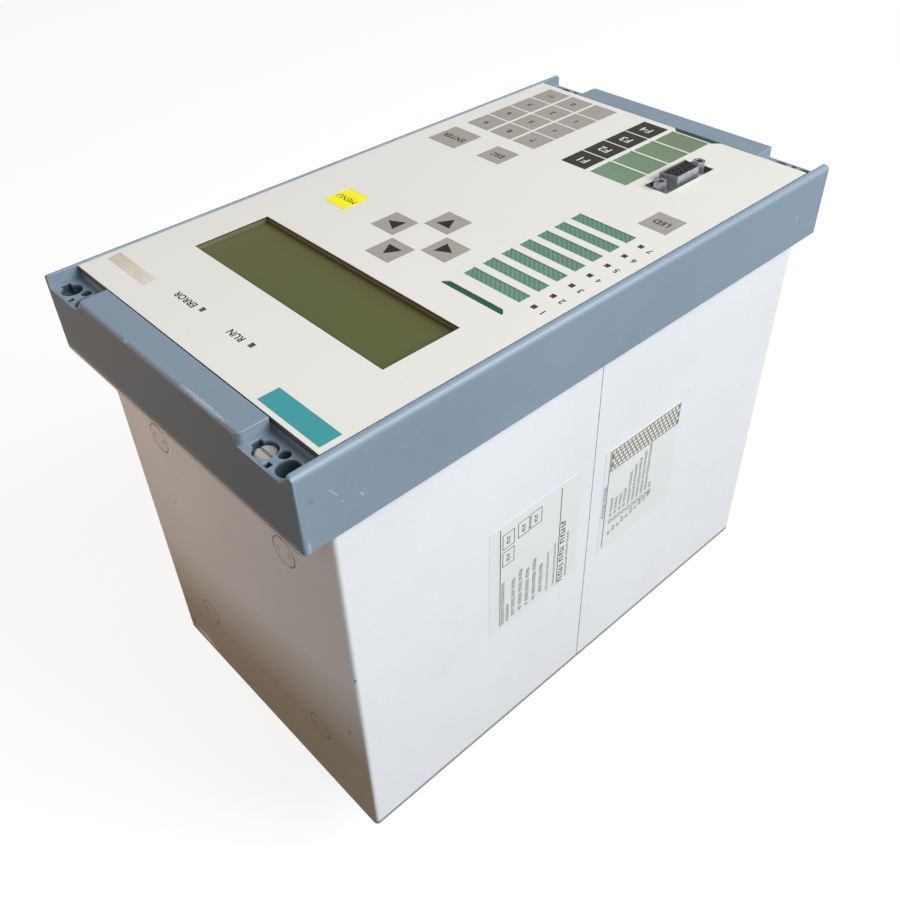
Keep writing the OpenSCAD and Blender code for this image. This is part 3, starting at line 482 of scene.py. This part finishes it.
def display_film():
    """Unlit display: olive glass with a faint line raster under a smooth front, and painted shadow along its
    left, top and foot edges.
    """
    half_lines_per_metre = 1600.0
    shadow_edge_left = opening_left + 2.7 * MM
    shadow_edge_top = opening_top - 2.5 * MM
    shadow_edge_fade = 0.5 * MM
    material, tree, shader = new_material("display glass", Roughness=0.32, Specular_IOR_Level=0.45)
    surface = placed(tree, grain_group, Grain_per_metre=900.0, Tone_per_metre=7.0)
    axes = object_axes(tree)
    lines = sums(tree, "PINGPONG", sums(tree, "MULTIPLY", axes["Z"], half_lines_per_metre), 1.0)
    tone = mixed(tree, surface["Tone"], colour(88, 93, 52), colour(95, 99, 58))
    tone = mixed(tree, ranged(tree, lines, 0.6, 0.9, 0.0, 0.10), tone, colour(80, 84, 52))
    # Painted shadow: a dark band inside the opening's left and top edges.
    edge_shadow_mask = sums(tree, "MAXIMUM", ranged(tree, axes["X"], shadow_edge_left, shadow_edge_left - shadow_edge_fade),
                  ranged(tree, axes["Z"], shadow_edge_top, shadow_edge_top + shadow_edge_fade))
    tone = mixed(tree, sums(tree, "MULTIPLY", edge_shadow_mask, 0.8), tone, colour(48, 46, 28))
    # Painted shadow: the glass darkens towards the opening's foot.
    foot_shade = ranged(tree, axes["Z"], opening_foot + 9.9 * MM, opening_foot - 0.1 * MM, 0.0, 0.45)
    tone = mixed(tree, foot_shade, tone, colour(84, 76, 46))
    plug(tree, shader["Base Color"], tone)
    return material


def layered_plate():
    """Painted carrier plate, olive brown, dark about the port, with a layered look at its two ends, and
    painted light and shade on its walls under the foil.
    """
    layer_depth = 0.9 * MM
    ends_z = 100 * MM
    port_reach_x = 14 * MM
    port_reach_z = 12 * MM
    fade = 1 * MM
    material, tree, shader = new_material("layered plate", Roughness=0.5)
    surface = placed(tree, grain_group, Grain_per_metre=2600.0, Tone_per_metre=30.0)
    axes = object_axes(tree)
    depth = sums(tree, "SUBTRACT", axes["Y"], foil_high.y)
    tone = mixed(tree, surface["Tone"], colour(116, 110, 88), colour(106, 101, 82))
    # Painted light and shade: the wall at the display opening's foot lies in shade, and is dark near the
    # front and paler deeper in.
    opening_wall = stretch(tree, axes["Z"], opening_foot - 2.1 * MM, opening_foot - 1.1 * MM,
                           opening_foot + 0.2 * MM, opening_foot + 0.4 * MM)
    inner = ranged(tree, depth, 0.2 * MM, 1.0 * MM)
    tone = mixed(tree, opening_wall, tone, mixed(tree, inner, colour(80, 74, 58), colour(146, 138, 104)))
    # Painted shadow: a dark line on the plate's walls just under the foil.
    under_foil_shadow = ranged(tree, depth, 0.55 * MM, 0.4 * MM)
    tone = mixed(tree, under_foil_shadow, tone, colour(58, 54, 44))
    port_low, port_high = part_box("port_shell")
    off_port = off(tree, axes["Z"], 0.5 * (port_low.z + port_high.z))
    about_port = stretch(tree, axes["X"], port_low.x - port_reach_x, port_low.x - port_reach_x + fade,
                         port_high.x + port_reach_x - fade, port_high.x + port_reach_x)
    at_port = sums(tree, "MULTIPLY", ranged(tree, off_port, port_reach_z, port_reach_z - fade), about_port)
    tone = mixed(tree, at_port, tone, colour(34, 32, 29))
    pale_layer = ranged(tree, off(tree, depth, layer_depth), 0.35 * MM, 0.25 * MM)
    layers = mixed(tree, pale_layer, colour(44, 44, 42), colour(118, 112, 104))
    at_end = ranged(tree, sums(tree, "ABSOLUTE", axes["Z"]), ends_z, ends_z + fade)
    at_end = sums(tree, "MULTIPLY", at_end, sums(tree, "SUBTRACT", 1.0, at_port))
    plug(tree, shader["Base Color"], mixed(tree, at_end, tone, layers))
    plug(tree, shader["Normal"], bumped(tree, surface["Grain"], 0.01 * MM))
    return material


def plated_metal(name, base, rough, tarnish_and_dark_reflection, marks=60.0, metal=1.0):
    """Plated metal with fine scratches and a cloudy darker tone: tarnish, and on the screws painted dark
    reflection too.
    """
    material, tree, shader = new_material(name, Metallic=metal)
    surface = placed(tree, grain_group, Grain_per_metre=2400.0, Tone_per_metre=160.0)
    scuff = placed(tree, scuff_group, Marks_per_metre=marks, Amount=0.8)["Scuff"]
    tone = mixed(tree, sums(tree, "MULTIPLY", surface["Tone"], 0.7), base, tarnish_and_dark_reflection)
    plug(tree, shader["Base Color"], mixed(tree, scuff, tone, base))
    plug(tree, shader["Roughness"], ranged(tree, surface["Tone"], 0.0, 1.0, rough - 0.08, rough + 0.12))
    plug(tree, shader["Normal"], bumped(tree, surface["Grain"], 0.02 * MM, 0.25 * MM))
    return material


def lamp_lens(name, base, dark):
    """Unlit lamp lens: glossy tinted plastic, darker in clouds."""
    material, tree, shader = new_material(name, Roughness=0.22, Coat_Weight=0.4, Coat_Roughness=0.1)
    surface = placed(tree, grain_group, Grain_per_metre=1500.0, Tone_per_metre=420.0)
    plug(tree, shader["Base Color"], mixed(tree, surface["Tone"], base, dark))
    return material


def ink(name, base, fade):
    """Screen print that is a little thin in places."""
    material, tree, shader = new_material(name, Roughness=0.5)
    surface = placed(tree, grain_group, Grain_per_metre=3000.0, Tone_per_metre=900.0)
    plug(tree, shader["Base Color"], mixed(tree, sums(tree, "MULTIPLY", surface["Tone"], 0.35), base, fade))
    return material


def circuit_board():
    """Green solder resist with copper runs under it."""
    material, tree, shader = new_material("circuit board", Roughness=0.4)
    cells = put(tree, "ShaderNodeTexVoronoi", {"Vector": object_place(tree), "Scale": 260.0},
                distance="MANHATTAN")
    runs = ranged(tree, cells.outputs["Distance"], 0.40, 0.46)
    tone = mixed(tree, runs, colour(34, 84, 52), colour(58, 116, 70))
    plug(tree, shader["Base Color"], tone)
    plug(tree, shader["Normal"], bumped(tree, runs, 0.03 * MM))
    return material


def wound_coil():
    """Taped copper winding with fine turns."""
    material, tree, shader = new_material("winding", Roughness=0.5)
    turns = put(tree, "ShaderNodeTexWave", {
        "Vector": object_place(tree), "Scale": 260.0, "Distortion": 0.6, "Detail": 2.0})
    tone = mixed(tree, turns.outputs["Fac"], colour(96, 58, 34), colour(148, 96, 54))
    plug(tree, shader["Base Color"], tone)
    plug(tree, shader["Normal"], bumped(tree, turns.outputs["Fac"], 0.1 * MM))
    return material


case_paint = powder_paint()
frame_plastic = moulded_plastic(
    "frame plastic", colour(132, 152, 170), colour(190, 204, 216), colour(92, 106, 120),
    pale_marks=FRAME_RUBS, dark_marks=FRAME_SMUDGES, pockets=True)
KEY_EDGE_R = 0.12 * MM
key_grey = printed_foil("key grey", colour(165, 162, 156), round_edge=KEY_EDGE_R)
key_dark = printed_foil("key dark", colour(45, 43, 40), round_edge=KEY_EDGE_R)
key_yellow = printed_foil("key yellow", colour(255, 250, 12), soil_share=0.05, round_edge=KEY_EDGE_R)
terminal_plastic = moulded_plastic(
    "terminal plastic", colour(42, 43, 44), colour(86, 87, 88), colour(24, 25, 26), wear=0.3)
black_part = moulded_plastic(
    "black part", colour(36, 36, 38), colour(78, 78, 80), colour(20, 20, 21), wear=0.2)
# The card guides' pads in the top end wall share its painted shade.
guide_plastic = moulded_plastic(
    "guide plastic", colour(228, 232, 236), colour(132, 124, 116), colour(190, 188, 184), wear=0.9,
    end_shade=True)
relay_cover = moulded_plastic(
    "relay cover", colour(216, 214, 207), colour(235, 234, 230), colour(170, 167, 160), wear=0.2)
zinc = plated_metal("zinc", colour(232, 234, 229), 0.30, colour(176, 178, 170), metal=0.6)
# The screws' strong bright and dark mottle is partly tarnish and partly painted reflection of shiny metal.
screw_zinc = plated_metal("screw zinc", colour(250, 250, 244), 0.24, colour(122, 124, 108), 240.0, 0.7)
port_metal = plated_metal("port metal", colour(208, 213, 219), 0.38, colour(96, 100, 106), metal=0.8)
rear_sheet = plated_metal("rear sheet", colour(196, 198, 199), 0.5, colour(168, 171, 173), 30.0, 0.7)
brass = plated_metal("brass", colour(214, 190, 120), 0.3, colour(150, 126, 72))

lamp_strip_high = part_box("led_label_strip")[1].z
function_strip_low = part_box("function_label_strip")[0].z
SLIT_H = 3.4 * MM
NOTCH_H = 3.2 * MM
finishes = {
    "front_foil": printed_foil("front foil", colour(231, 232, 228), soil_share=0.07),
    "front_plate": layered_plate(),
    "display_glass": display_film(),
    "display_module": black_part,
    "status_leds": lamp_lens("status lens", colour(88, 84, 76), colour(60, 57, 50)),
    "indicator_leds": lamp_lens("indicator lens", colour(92, 58, 54), colour(58, 40, 37)),
    "led_label_strip": label_strip(
        "led_label_strip", "lamp label", colour(116, 160, 138), colour(112, 156, 134), colour(60, 108, 86),
        2.25 * MM, 0.5, lamp_strip_high - SLIT_H, lamp_strip_high, colour(32, 86, 72)),
    "function_label_strip": label_strip(
        "function_label_strip", "function label", colour(122, 154, 130), colour(126, 138, 114),
        colour(92, 118, 92), 1.1 * MM, 0.3, function_strip_low, function_strip_low + NOTCH_H,
        colour(44, 80, 76)),
    "port_shell": port_metal,
    "port_insert": black_part,
    "port_posts": port_metal,
    "front_board": circuit_board(),
    "board_spacers": zinc,
    "key_switches": black_part,
    "cover_screws": screw_zinc,
    "seam_straps": rear_sheet,
    "rear_panel": rear_sheet,
    "rear_panel_screws": zinc,
    "logic_chips": black_part,
    "input_transformers": wound_coil(),
    "output_relays": relay_cover,
    "supply_capacitors": printed_foil("capacitor sleeve", colour(58, 70, 96)),
    "buffer_battery": printed_foil("battery sleeve", colour(199, 182, 74)),
    "ribbon_cables": printed_foil("cable grey", colour(143, 146, 148)),
    "card_guides": guide_plastic,
    "current_terminal_block": terminal_plastic,
    "signal_terminal_blocks": terminal_plastic,
    "terminal_screws": zinc,
    "earth_screw": brass,
    "rear_port": port_metal,
}
finishes["processor_board"] = finishes["front_board"]
finishes["input_output_board"] = finishes["front_board"]
finishes["supply_transformer"] = finishes["input_transformers"]


def key_finish(key):
    """A key's material, and the name of its slot."""
    if key in ("key_f1", "key_f2", "key_f3", "key_f4"):
        return key_dark, "key_dark"
    if key == "key_menu":
        return key_yellow, "key_yellow"
    return key_grey, "key_grey"


for name in solids:
    if name.startswith("key_") and name not in finishes:
        finishes[name] = key_finish(name)[0]
for name, material in finishes.items():
    solids[name].data.materials.clear()
    solids[name].data.materials.append(material)


# Welded copies with soft edges stand for the frame and the two shells

WELD = 0.002 * MM
FRAME_EDGE_R = 0.3 * MM
FLOOR_SLACK = 0.02 * MM         # how near to a pocket's floor a face counts as part of it
SHARP = math.radians(40)
SMOOTH = math.radians(32)
FLAT = math.radians(0.5)


def welded_copy(node):
    """A copy of a solid's mesh with its loose triangles joined."""
    piece = bpy.data.objects.new(node + "_skin", solids[node].data.copy())
    bpy.context.scene.collection.objects.link(piece)
    start_edit(piece)
    bpy.ops.mesh.remove_doubles(threshold=WELD)
    end_edit()
    return piece


def break_edges(piece, deepest_y, width, steps):
    """Rounds the sharp edges of a piece that start in front of a depth."""
    start_edit(piece)
    bpy.ops.mesh.select_mode(type="EDGE")
    bpy.ops.mesh.select_all(action="DESELECT")
    bpy.ops.mesh.edges_select_sharp(sharpness=SHARP)
    end_edit()
    corners = piece.data.vertices
    for edge in piece.data.edges:
        front = min(corners[index].co.y for index in edge.vertices)
        edge.select = edge.select and front < deepest_y
    bpy.ops.object.mode_set(mode="EDIT")
    bpy.ops.mesh.bevel(offset=width, segments=steps, affect="EDGES", clamp_overlap=False)
    bpy.ops.mesh.select_mode(type="VERT")
    end_edit()


def join_flats(piece):
    """Joins the triangles of each flat face, apart from the drilled floors of the pockets."""
    start_edit(piece)
    bpy.ops.mesh.select_mode(type="FACE")
    end_edit()
    for face in piece.data.polygons:
        face.select = abs(face.center.y - pocket_y) > 0.5 * FLOOR_SLACK
    bpy.ops.object.mode_set(mode="EDIT")
    bpy.ops.mesh.dissolve_limited(angle_limit=FLAT)
    bpy.ops.mesh.select_mode(type="VERT")
    end_edit()


def smooth_skin(piece, node, material):
    """Shades a skin smooth with true flats, and lets it stand for its solid."""
    choose(piece)
    bpy.ops.object.shade_smooth_by_angle(angle=SMOOTH)
    for face in piece.data.polygons:
        if abs(face.center.y - pocket_y) < FLOOR_SLACK and abs(face.normal.y) > 0.999:
            face.use_smooth = False
    flats = piece.modifiers.new("true flats", "WEIGHTED_NORMAL")
    flats.keep_sharp = True
    bpy.ops.object.modifier_apply(modifier=flats.name)
    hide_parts(node)
    finish_piece(piece, "case", material)


frame_skin = welded_copy("front_frame")
join_flats(frame_skin)
break_edges(frame_skin, pocket_y - FRAME_EDGE_R, FRAME_EDGE_R, 3)
smooth_skin(frame_skin, "front_frame", frame_plastic)
for shell in ("upper_shell", "lower_shell"):
    smooth_skin(welded_copy(shell), shell, case_paint)


# Print on the front

black_ink = ink("black ink", colour(24, 22, 20), colour(62, 60, 56))
white_ink = ink("white ink", colour(236, 236, 232), colour(190, 190, 186))
soft_ink = ink("soft ink", colour(92, 90, 86), colour(140, 138, 132))


def legend(name, words, x, z, cap, material, body, slot, weight=0.0, squeeze=1.0):
    """Words printed on the front, with capitals cap high, about x and z."""
    bpy.ops.object.select_all(action="DESELECT")
    bpy.ops.object.text_add()
    piece = bpy.context.object
    piece.name = name
    piece.data.body = words
    piece.data.align_x = "CENTER"
    piece.data.align_y = "CENTER"
    piece.data.size = cap / CAP_SHARE
    if not set(words) & set("4M"):      # a heavier outline would tear these two
        piece.data.offset = weight * cap
    piece.data.extrude = 0.5 * PRINT_T
    piece.data.resolution_u = 3
    choose(piece)
    bpy.ops.object.convert(target="MESH")
    piece = bpy.context.object
    piece.scale.x = squeeze
    piece.rotation_euler.x = math.radians(90)
    piece.location = (x, front_y, z)
    settle(piece)
    finish_piece(piece, body, material)


def middle(node):
    """Middle of a solid, in x and z."""
    low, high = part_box(node)
    return 0.5 * (low.x + high.x), 0.5 * (low.z + high.z)


def key_legend(key, words, cap, material=black_ink, weight=0.0, squeeze=1.0):
    """Words in the middle of a key, which move with it."""
    x, z = middle(key)
    legend(key + "_legend", words, x, z, cap, material, key, key_finish(key)[1], weight, squeeze)


DIGIT_CAP = 2.9 * MM
FUNCTION_CAP = 4.3 * MM
ENTER_CAP = 3.1 * MM
WORD_CAP = 3.0 * MM
MENU_CAP = 2.9 * MM
for digit in range(10):
    key_legend(f"key_{digit}", str(digit), DIGIT_CAP, weight=0.035)
key_legend("key_point", ".", DIGIT_CAP, weight=0.05)
key_legend("key_sign", "+/-", DIGIT_CAP, weight=0.01)
for number in range(1, 5):
    key_legend(f"key_f{number}", f"F{number}", FUNCTION_CAP, white_ink, weight=0.01)
key_legend("key_enter", "ENTER", ENTER_CAP, weight=0.025, squeeze=0.95)
key_legend("key_escape", "ESC", WORD_CAP, weight=0.025)
key_legend("key_led", "LED", WORD_CAP, weight=0.025)
key_legend("key_menu", "MENU", MENU_CAP, squeeze=0.98)


def arrow_print(key, direction):
    """Solid triangle on an arrow key, its point away from the middle of the four."""
    base_half = 3.5 * MM
    rise = 6.2 * MM
    tip, foot = 0.55 * rise, -0.45 * rise
    x, z = middle(key)
    bpy.ops.object.select_all(action="DESELECT")
    bpy.ops.mesh.primitive_circle_add(vertices=3, fill_type="NGON")
    piece = bpy.context.object
    piece.name = key + "_arrow"
    for vertex, corner in zip(piece.data.vertices, [(0, tip), (-base_half, foot), (base_half, foot)]):
        vertex.co = (*corner, 0)
    start_edit(piece)
    bpy.ops.mesh.normals_make_consistent(inside=False)
    bpy.ops.mesh.extrude_region_move(TRANSFORM_OT_translate={"value": (0, 0, PRINT_T)})
    bpy.ops.mesh.select_all(action="SELECT")
    bpy.ops.mesh.normals_make_consistent(inside=False)
    end_edit()
    turns = {"up": 0, "left": 90, "down": 180, "right": 270}
    piece.matrix_world = (Matrix.Translation((x, front_y + 0.5 * PRINT_T, z))
                          @ Matrix.Rotation(math.radians(90), 4, "X")
                          @ Matrix.Rotation(math.radians(turns[direction]), 4, "Z"))
    settle(piece)
    finish_piece(piece, key, black_ink)


for direction in ("up", "left", "down", "right"):
    arrow_print(f"key_{direction}", direction)

STATUS_CAP = 2.75 * MM
status_low, status_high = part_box("status_leds")
status_z = 0.5 * (status_low.z + status_high.z)
run_place = (status_low.x + 10.3 * MM, status_z + 0.4 * MM)
error_place = (status_high.x + 6.9 * MM, status_z + 0.6 * MM)
legend("run_legend", "RUN", *run_place, STATUS_CAP, black_ink, "case", "front_foil", weight=0.03)
legend("error_legend", "ERROR", *error_place, STATUS_CAP, black_ink, "case", "front_foil", weight=0.03)

LAMPS = 7
LAMP_HALF = 2.3 * MM
NUMBER_CAP = 2.7 * MM
NUMBER_X = -66.7 * MM
NUMBER_RISE = 0.5 * MM
lamp_low, lamp_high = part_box("indicator_leds")
lamp_step = (lamp_high.z - lamp_low.z - 2 * LAMP_HALF) / (LAMPS - 1)
for lamp in range(LAMPS):
    number_z = lamp_high.z - LAMP_HALF - lamp * lamp_step + NUMBER_RISE
    legend(f"lamp_number_{lamp + 1}", str(lamp + 1), NUMBER_X, number_z, NUMBER_CAP, black_ink, "case",
           "front_foil", weight=0.025)


# Fields and stickers

def sticker(name, corners, thickness, to_place):
    """Flat sticker through four corners, drawn in its own plane and carried over by to_place."""
    bpy.ops.object.select_all(action="DESELECT")
    bpy.ops.mesh.primitive_plane_add()
    piece = bpy.context.object
    piece.name = name
    for vertex, corner in zip(piece.data.vertices, corners):
        vertex.co = (corner[0], corner[1], 0)
    start_edit(piece)
    bpy.ops.mesh.subdivide(number_cuts=3)
    bpy.ops.mesh.normals_make_consistent(inside=False)
    bpy.ops.mesh.extrude_region_move(TRANSFORM_OT_translate={"value": (0, 0, thickness)})
    bpy.ops.mesh.select_all(action="SELECT")
    bpy.ops.mesh.normals_make_consistent(inside=False)
    end_edit()
    piece.matrix_world = to_place
    settle(piece)
    return piece


def rectangle(low_x, low_y, high_x, high_y):
    """Corners in the order in which a new plane keeps them."""
    return [(low_x, low_y), (high_x, low_y), (low_x, high_y), (high_x, high_y)]


# The front plane has its own x to the right, y up and z towards the viewer, and so has the left wall
on_front = Matrix.Translation((0, front_y, 0)) @ Matrix.Rotation(math.radians(90), 4, "X")
on_left = Matrix(((0, 0, -1, left_wall_x), (-1, 0, 0, 0), (0, 1, 0, 0), (0, 0, 0, 1)))

teal = printed_foil("teal field", colour(62, 156, 162), soil_share=0.05)
field_corners = rectangle(-69.4 * MM, 111.4 * MM, -39.05 * MM, 119.4 * MM)
finish_piece(sticker("name_field", field_corners, PRINT_T, on_front), "case", teal)

# The tape sits a little askew, so its four corners are given one by one, in millimetres
TAPE_CORNERS = [(42.7, 106.1), (69.3, 105.8), (42.1, 111.3), (68.3, 111.2)]
TAPE_SHADE_X = (44 * MM, 68 * MM)   # the tape darkens from the first to the second


def aged_tape():
    """Old clear tape: greyer and warmer than the foil, cloudy with dirt at its edges."""
    material, tree, shader = new_material("aged tape", Specular_IOR_Level=0.5)
    surface = placed(tree, grain_group, Grain_per_metre=1400.0, Tone_per_metre=120.0)
    soil = placed(tree, dust_group, Clouds_per_metre=180.0, Specks_per_metre=1200.0)
    along = ranged(tree, object_axes(tree)["X"], *TAPE_SHADE_X)
    tone = mixed(tree, along, colour(225, 223, 213), colour(206, 199, 182))
    tone = mixed(tree, sums(tree, "MULTIPLY", surface["Tone"], 0.3), tone, colour(196, 190, 174))
    tone = mixed(tree, sums(tree, "MULTIPLY", soil["Dust"], 0.25), tone, colour(176, 170, 154))
    rim = placed(tree, edge_group, Width=0.5 * MM, Breaks_per_metre=300.0, Amount=0.5)["Wear"]
    tone = mixed(tree, rim, tone, colour(158, 150, 136))
    plug(tree, shader["Base Color"], tone)
    plug(tree, shader["Roughness"], ranged(tree, surface["Tone"], 0.0, 1.0, 0.25, 0.4))
    plug(tree, shader["Normal"], bumped(tree, surface["Grain"], 0.02 * MM))
    return material


tape = sticker("tape_strip", [(across * MM, up * MM) for across, up in TAPE_CORNERS], TAPE_T, on_front)
finish_piece(tape, "case", aged_tape())

label_film = printed_foil("label film", colour(227, 232, 233), rough=0.3, soil_share=0.1)


def wall_label(name, y_near, y_far, z_low, z_high):
    """Sticker on the left wall, between two depths and two heights in millimetres."""
    corners = rectangle(-y_far * MM, z_low * MM, -y_near * MM, z_high * MM)
    finish_piece(sticker(name, corners, PAPER_T, on_left), "case", label_film)


def bar_print(name, bars, material, lift=PAPER_T):
    """Plain bars on a wall label, each with its middle depth and height, length and width in millimetres."""
    bpy.ops.object.select_all(action="DESELECT")
    bpy.ops.mesh.primitive_plane_add(size=1)
    piece = bpy.context.object
    piece.name = name
    bpy.ops.object.mode_set(mode="EDIT")
    bpy.ops.mesh.delete(type="VERT")
    for depth, height, length, width in bars:
        bpy.ops.mesh.primitive_plane_add(size=1, location=(-depth * MM, height * MM, 0))
        bpy.ops.transform.resize(value=(length * MM, width * MM, 1))
    bpy.ops.mesh.select_all(action="SELECT")
    bpy.ops.mesh.extrude_region_move(TRANSFORM_OT_translate={"value": (0, 0, PRINT_T)})
    bpy.ops.mesh.select_all(action="SELECT")
    bpy.ops.mesh.normals_make_consistent(inside=False)
    end_edit()
    piece.matrix_world = on_left @ Matrix.Translation((0, 0, lift))
    settle(piece)
    finish_piece(piece, "case", material)


def letter_row(start, height, words, size):
    """Strokes in groups, as of words: an upright for each letter, most with a short arm at top or foot."""
    stroke = 0.24 * size
    arm = 0.36 * size
    pitch = 0.72 * size
    word_gap = 0.5 * size
    bars = []
    for letters in words:
        for letter in range(letters):
            bars.append((start - 0.15 * size, height, stroke, size))
            if letter % 3 != 1:
                arm_rise = arm if letter % 2 == 0 else -arm
                bars.append((start - 0.38 * size, height + arm_rise, arm, stroke))
            start -= pitch
        start -= word_gap
    return bars


def hollow_box(depth, height, length, width):
    """Outline of a box, of four thin bars."""
    thin = 0.3
    return [(depth, height - 0.5 * width, length, thin), (depth, height + 0.5 * width, length, thin),
            (depth - 0.5 * length, height, thin, width), (depth + 0.5 * length, height, thin, width)]


def rating_bars():
    """Two rules, rows as of ratings, and four boxes beside them."""
    bars = [(77, 51.7, 55, 0.4), (77.5, 18.5, 55, 0.4)]
    bars += letter_row(104, 50.2, [9, 12], 1.6) + letter_row(104, 47.6, [9], 1.6)
    for row, words in enumerate([(3, 4, 3, 4), (2, 5, 4, 5), (1, 4, 5, 4), (2, 4, 5, 5), (3, 4, 4)]):
        bars += letter_row(103 - 1.5 * (row // 4), 44.4 - 3.95 * row, words, 1.9)
    for box_depth, box_height in [(66.4, 47.4), (57, 47.4), (56.4, 39.3), (56, 32.6)]:
        bars += hollow_box(box_depth, box_height, 7.6, 6) + letter_row(box_depth + 2, box_height, [3], 1.9)
    return bars


def table_bars():
    """Rule, and rows as of a connection table."""
    bars = [(77, -10.2, 55, 0.4)] + letter_row(85.5, -8.8, [8, 8], 1.5)
    rows = [(2, 7), (2, 6), (2, 6), (2, 7), (8, 8), (9, 9), (6, 6, 7), (7, 6, 8), (8, 7, 8), (3,)]
    for row, words in enumerate(rows):
        height = -14.2 - 2.9 * row
        bars += letter_row(88, height, words, 1.55) + letter_row(99 - 0.6 * row, height, [2 + row % 2], 1.6)
        bars += hollow_box(91, height, 1.9, 1.7)
    return bars


def lattice_marks():
    """Pale marks in five lines on the dark band, every other line half a step lower."""
    line_step = 2.15
    mark_step = 2.38
    bars = []
    for line in range(5):
        for mark in range(18):
            height = -12.2 - mark_step * (mark + 0.5 * (line % 2))
            bars.append((50.9 + line_step * line, height, 1.5, 1.55))
    return bars


wall_label("upper_label", 47.8, 106, 7.2, 57.4)
bar_print("upper_label_print", rating_bars(), black_ink)
bar_print("upper_label_heavy_print", letter_row(105, 16.4, [6, 5, 7], 2.6), black_ink)
small_rows = letter_row(104, 24.6, [4, 22], 1.2) + letter_row(103.7, 20.6, [32], 1.1)
small_rows += letter_row(103.6, 13.2, [14, 16], 1.2)
bar_print("upper_label_small_print", small_rows, soft_ink)
wall_label("lower_label", 48.6, 105.8, -55.5, -7.2)
bar_print("lower_label_print", table_bars(), black_ink)
band_ink = ink("band ink", colour(122, 121, 118), colour(158, 156, 151))
bar_print("lower_label_band", [(55.2, -33.0, 11.2, 44.4)], band_ink)
bar_print("lower_label_lattice", lattice_marks(), white_ink, PAPER_T + PRINT_T)


# Camera at the photograph's angle

eye = Vector((-0.24107, -0.1992, 0.22271))
right = Vector((-0.6782, 0.0283, -0.7344))
down = Vector((-0.4686, 0.7531, 0.4617))
ahead = Vector((0.5661, 0.6573, -0.4975))
camera_data = bpy.data.cameras.new("camera")
camera_data.sensor_width = 36
camera_data.lens = 37.98
camera_data.clip_start = 0.01
camera = bpy.data.objects.new("camera", camera_data)
camera.matrix_world = Matrix((
    (right.x, -down.x, -ahead.x, eye.x),
    (right.y, -down.y, -ahead.y, eye.y),
    (right.z, -down.z, -ahead.z, eye.z),
    (0, 0, 0, 1)))
bpy.context.scene.collection.objects.link(camera)
bpy.context.scene.camera = camera


# Pale floor behind the terminals, clear when seen from its back

def pale_floor():
    """Near white to look at, and a duller grey to what it lights."""
    lit_grey = (0.16, 0.155, 0.15, 1)
    seen_grey = (0.20, 0.20, 0.198, 1)
    glow = 0.84
    material = bpy.data.materials.new("pale floor")
    material.use_nodes = True
    tree = material.node_tree
    tree.nodes.remove(tree.nodes["Principled BSDF"])
    path = put(tree, "ShaderNodeLightPath").outputs
    seen = mixed(tree, path["Is Camera Ray"], lit_grey, seen_grey)
    matt = put(tree, "ShaderNodeBsdfDiffuse", {"Color": seen}).outputs[0]
    lift = put(tree, "ShaderNodeEmission", {
        "Color": (1, 1, 1, 1), "Strength": sums(tree, "MULTIPLY", path["Is Camera Ray"], glow)}).outputs[0]
    pale = put(tree, "ShaderNodeAddShader", {0: matt, 1: lift}).outputs[0]
    clear = put(tree, "ShaderNodeBsdfTransparent").outputs[0]
    back = put(tree, "ShaderNodeNewGeometry").outputs["Backfacing"]
    shown = put(tree, "ShaderNodeMixShader", {
        0: sums(tree, "MAXIMUM", back, path["Is Shadow Ray"]), 1: pale, 2: clear})
    tree.links.new(shown.outputs[0], tree.nodes["Material Output"].inputs["Surface"])
    return material


FLOOR_SIZE = 8.0
FLOOR_GAP = 0.2 * MM
bpy.ops.object.select_all(action="DESELECT")
upright = (math.radians(90), 0, 0)
bpy.ops.mesh.primitive_plane_add(size=FLOOR_SIZE, location=(0, rear_y + FLOOR_GAP, 0), rotation=upright)
floor = bpy.context.object
floor.name = "floor"
floor.data.materials.append(pale_floor())


# Soft studio light

def soft_light(name, place, aim, size, power, tint=(1.0, 1.0, 1.0)):
    """Round area light at a place, turned to its aim."""
    data = bpy.data.lights.new(name, "AREA")
    data.shape = "DISK"
    data.size = size
    data.energy = power
    data.color = tint
    lamp = bpy.data.objects.new(name, data)
    direction = Vector(aim) - Vector(place)
    lamp.matrix_world = Matrix.Translation(place) @ direction.to_track_quat("-Z", "Y").to_matrix().to_4x4()
    bpy.context.scene.collection.objects.link(lamp)


heart = (0, 0.08, 0)
soft_light("key light", (-1.42, -1.20, -0.75), heart, size=1.5, power=53.2)
soft_light("rear light", (0, 1.6, 0), heart, size=0.6, power=6.0)
soft_light("warm end light", (0.16, 0.0, 0.34), (0.16, 0.0, 0), size=0.25, power=0.28,
           tint=(1.0, 0.68, 0.48))
world = bpy.data.worlds.new("studio")
world.use_nodes = True
backdrop = world.node_tree.nodes["Background"].inputs
backdrop["Color"].default_value = (1.0, 0.95, 0.89, 1)
backdrop["Strength"].default_value = 0.33
bpy.context.scene.world = world
bpy.context.scene.view_settings.view_transform = "Standard"
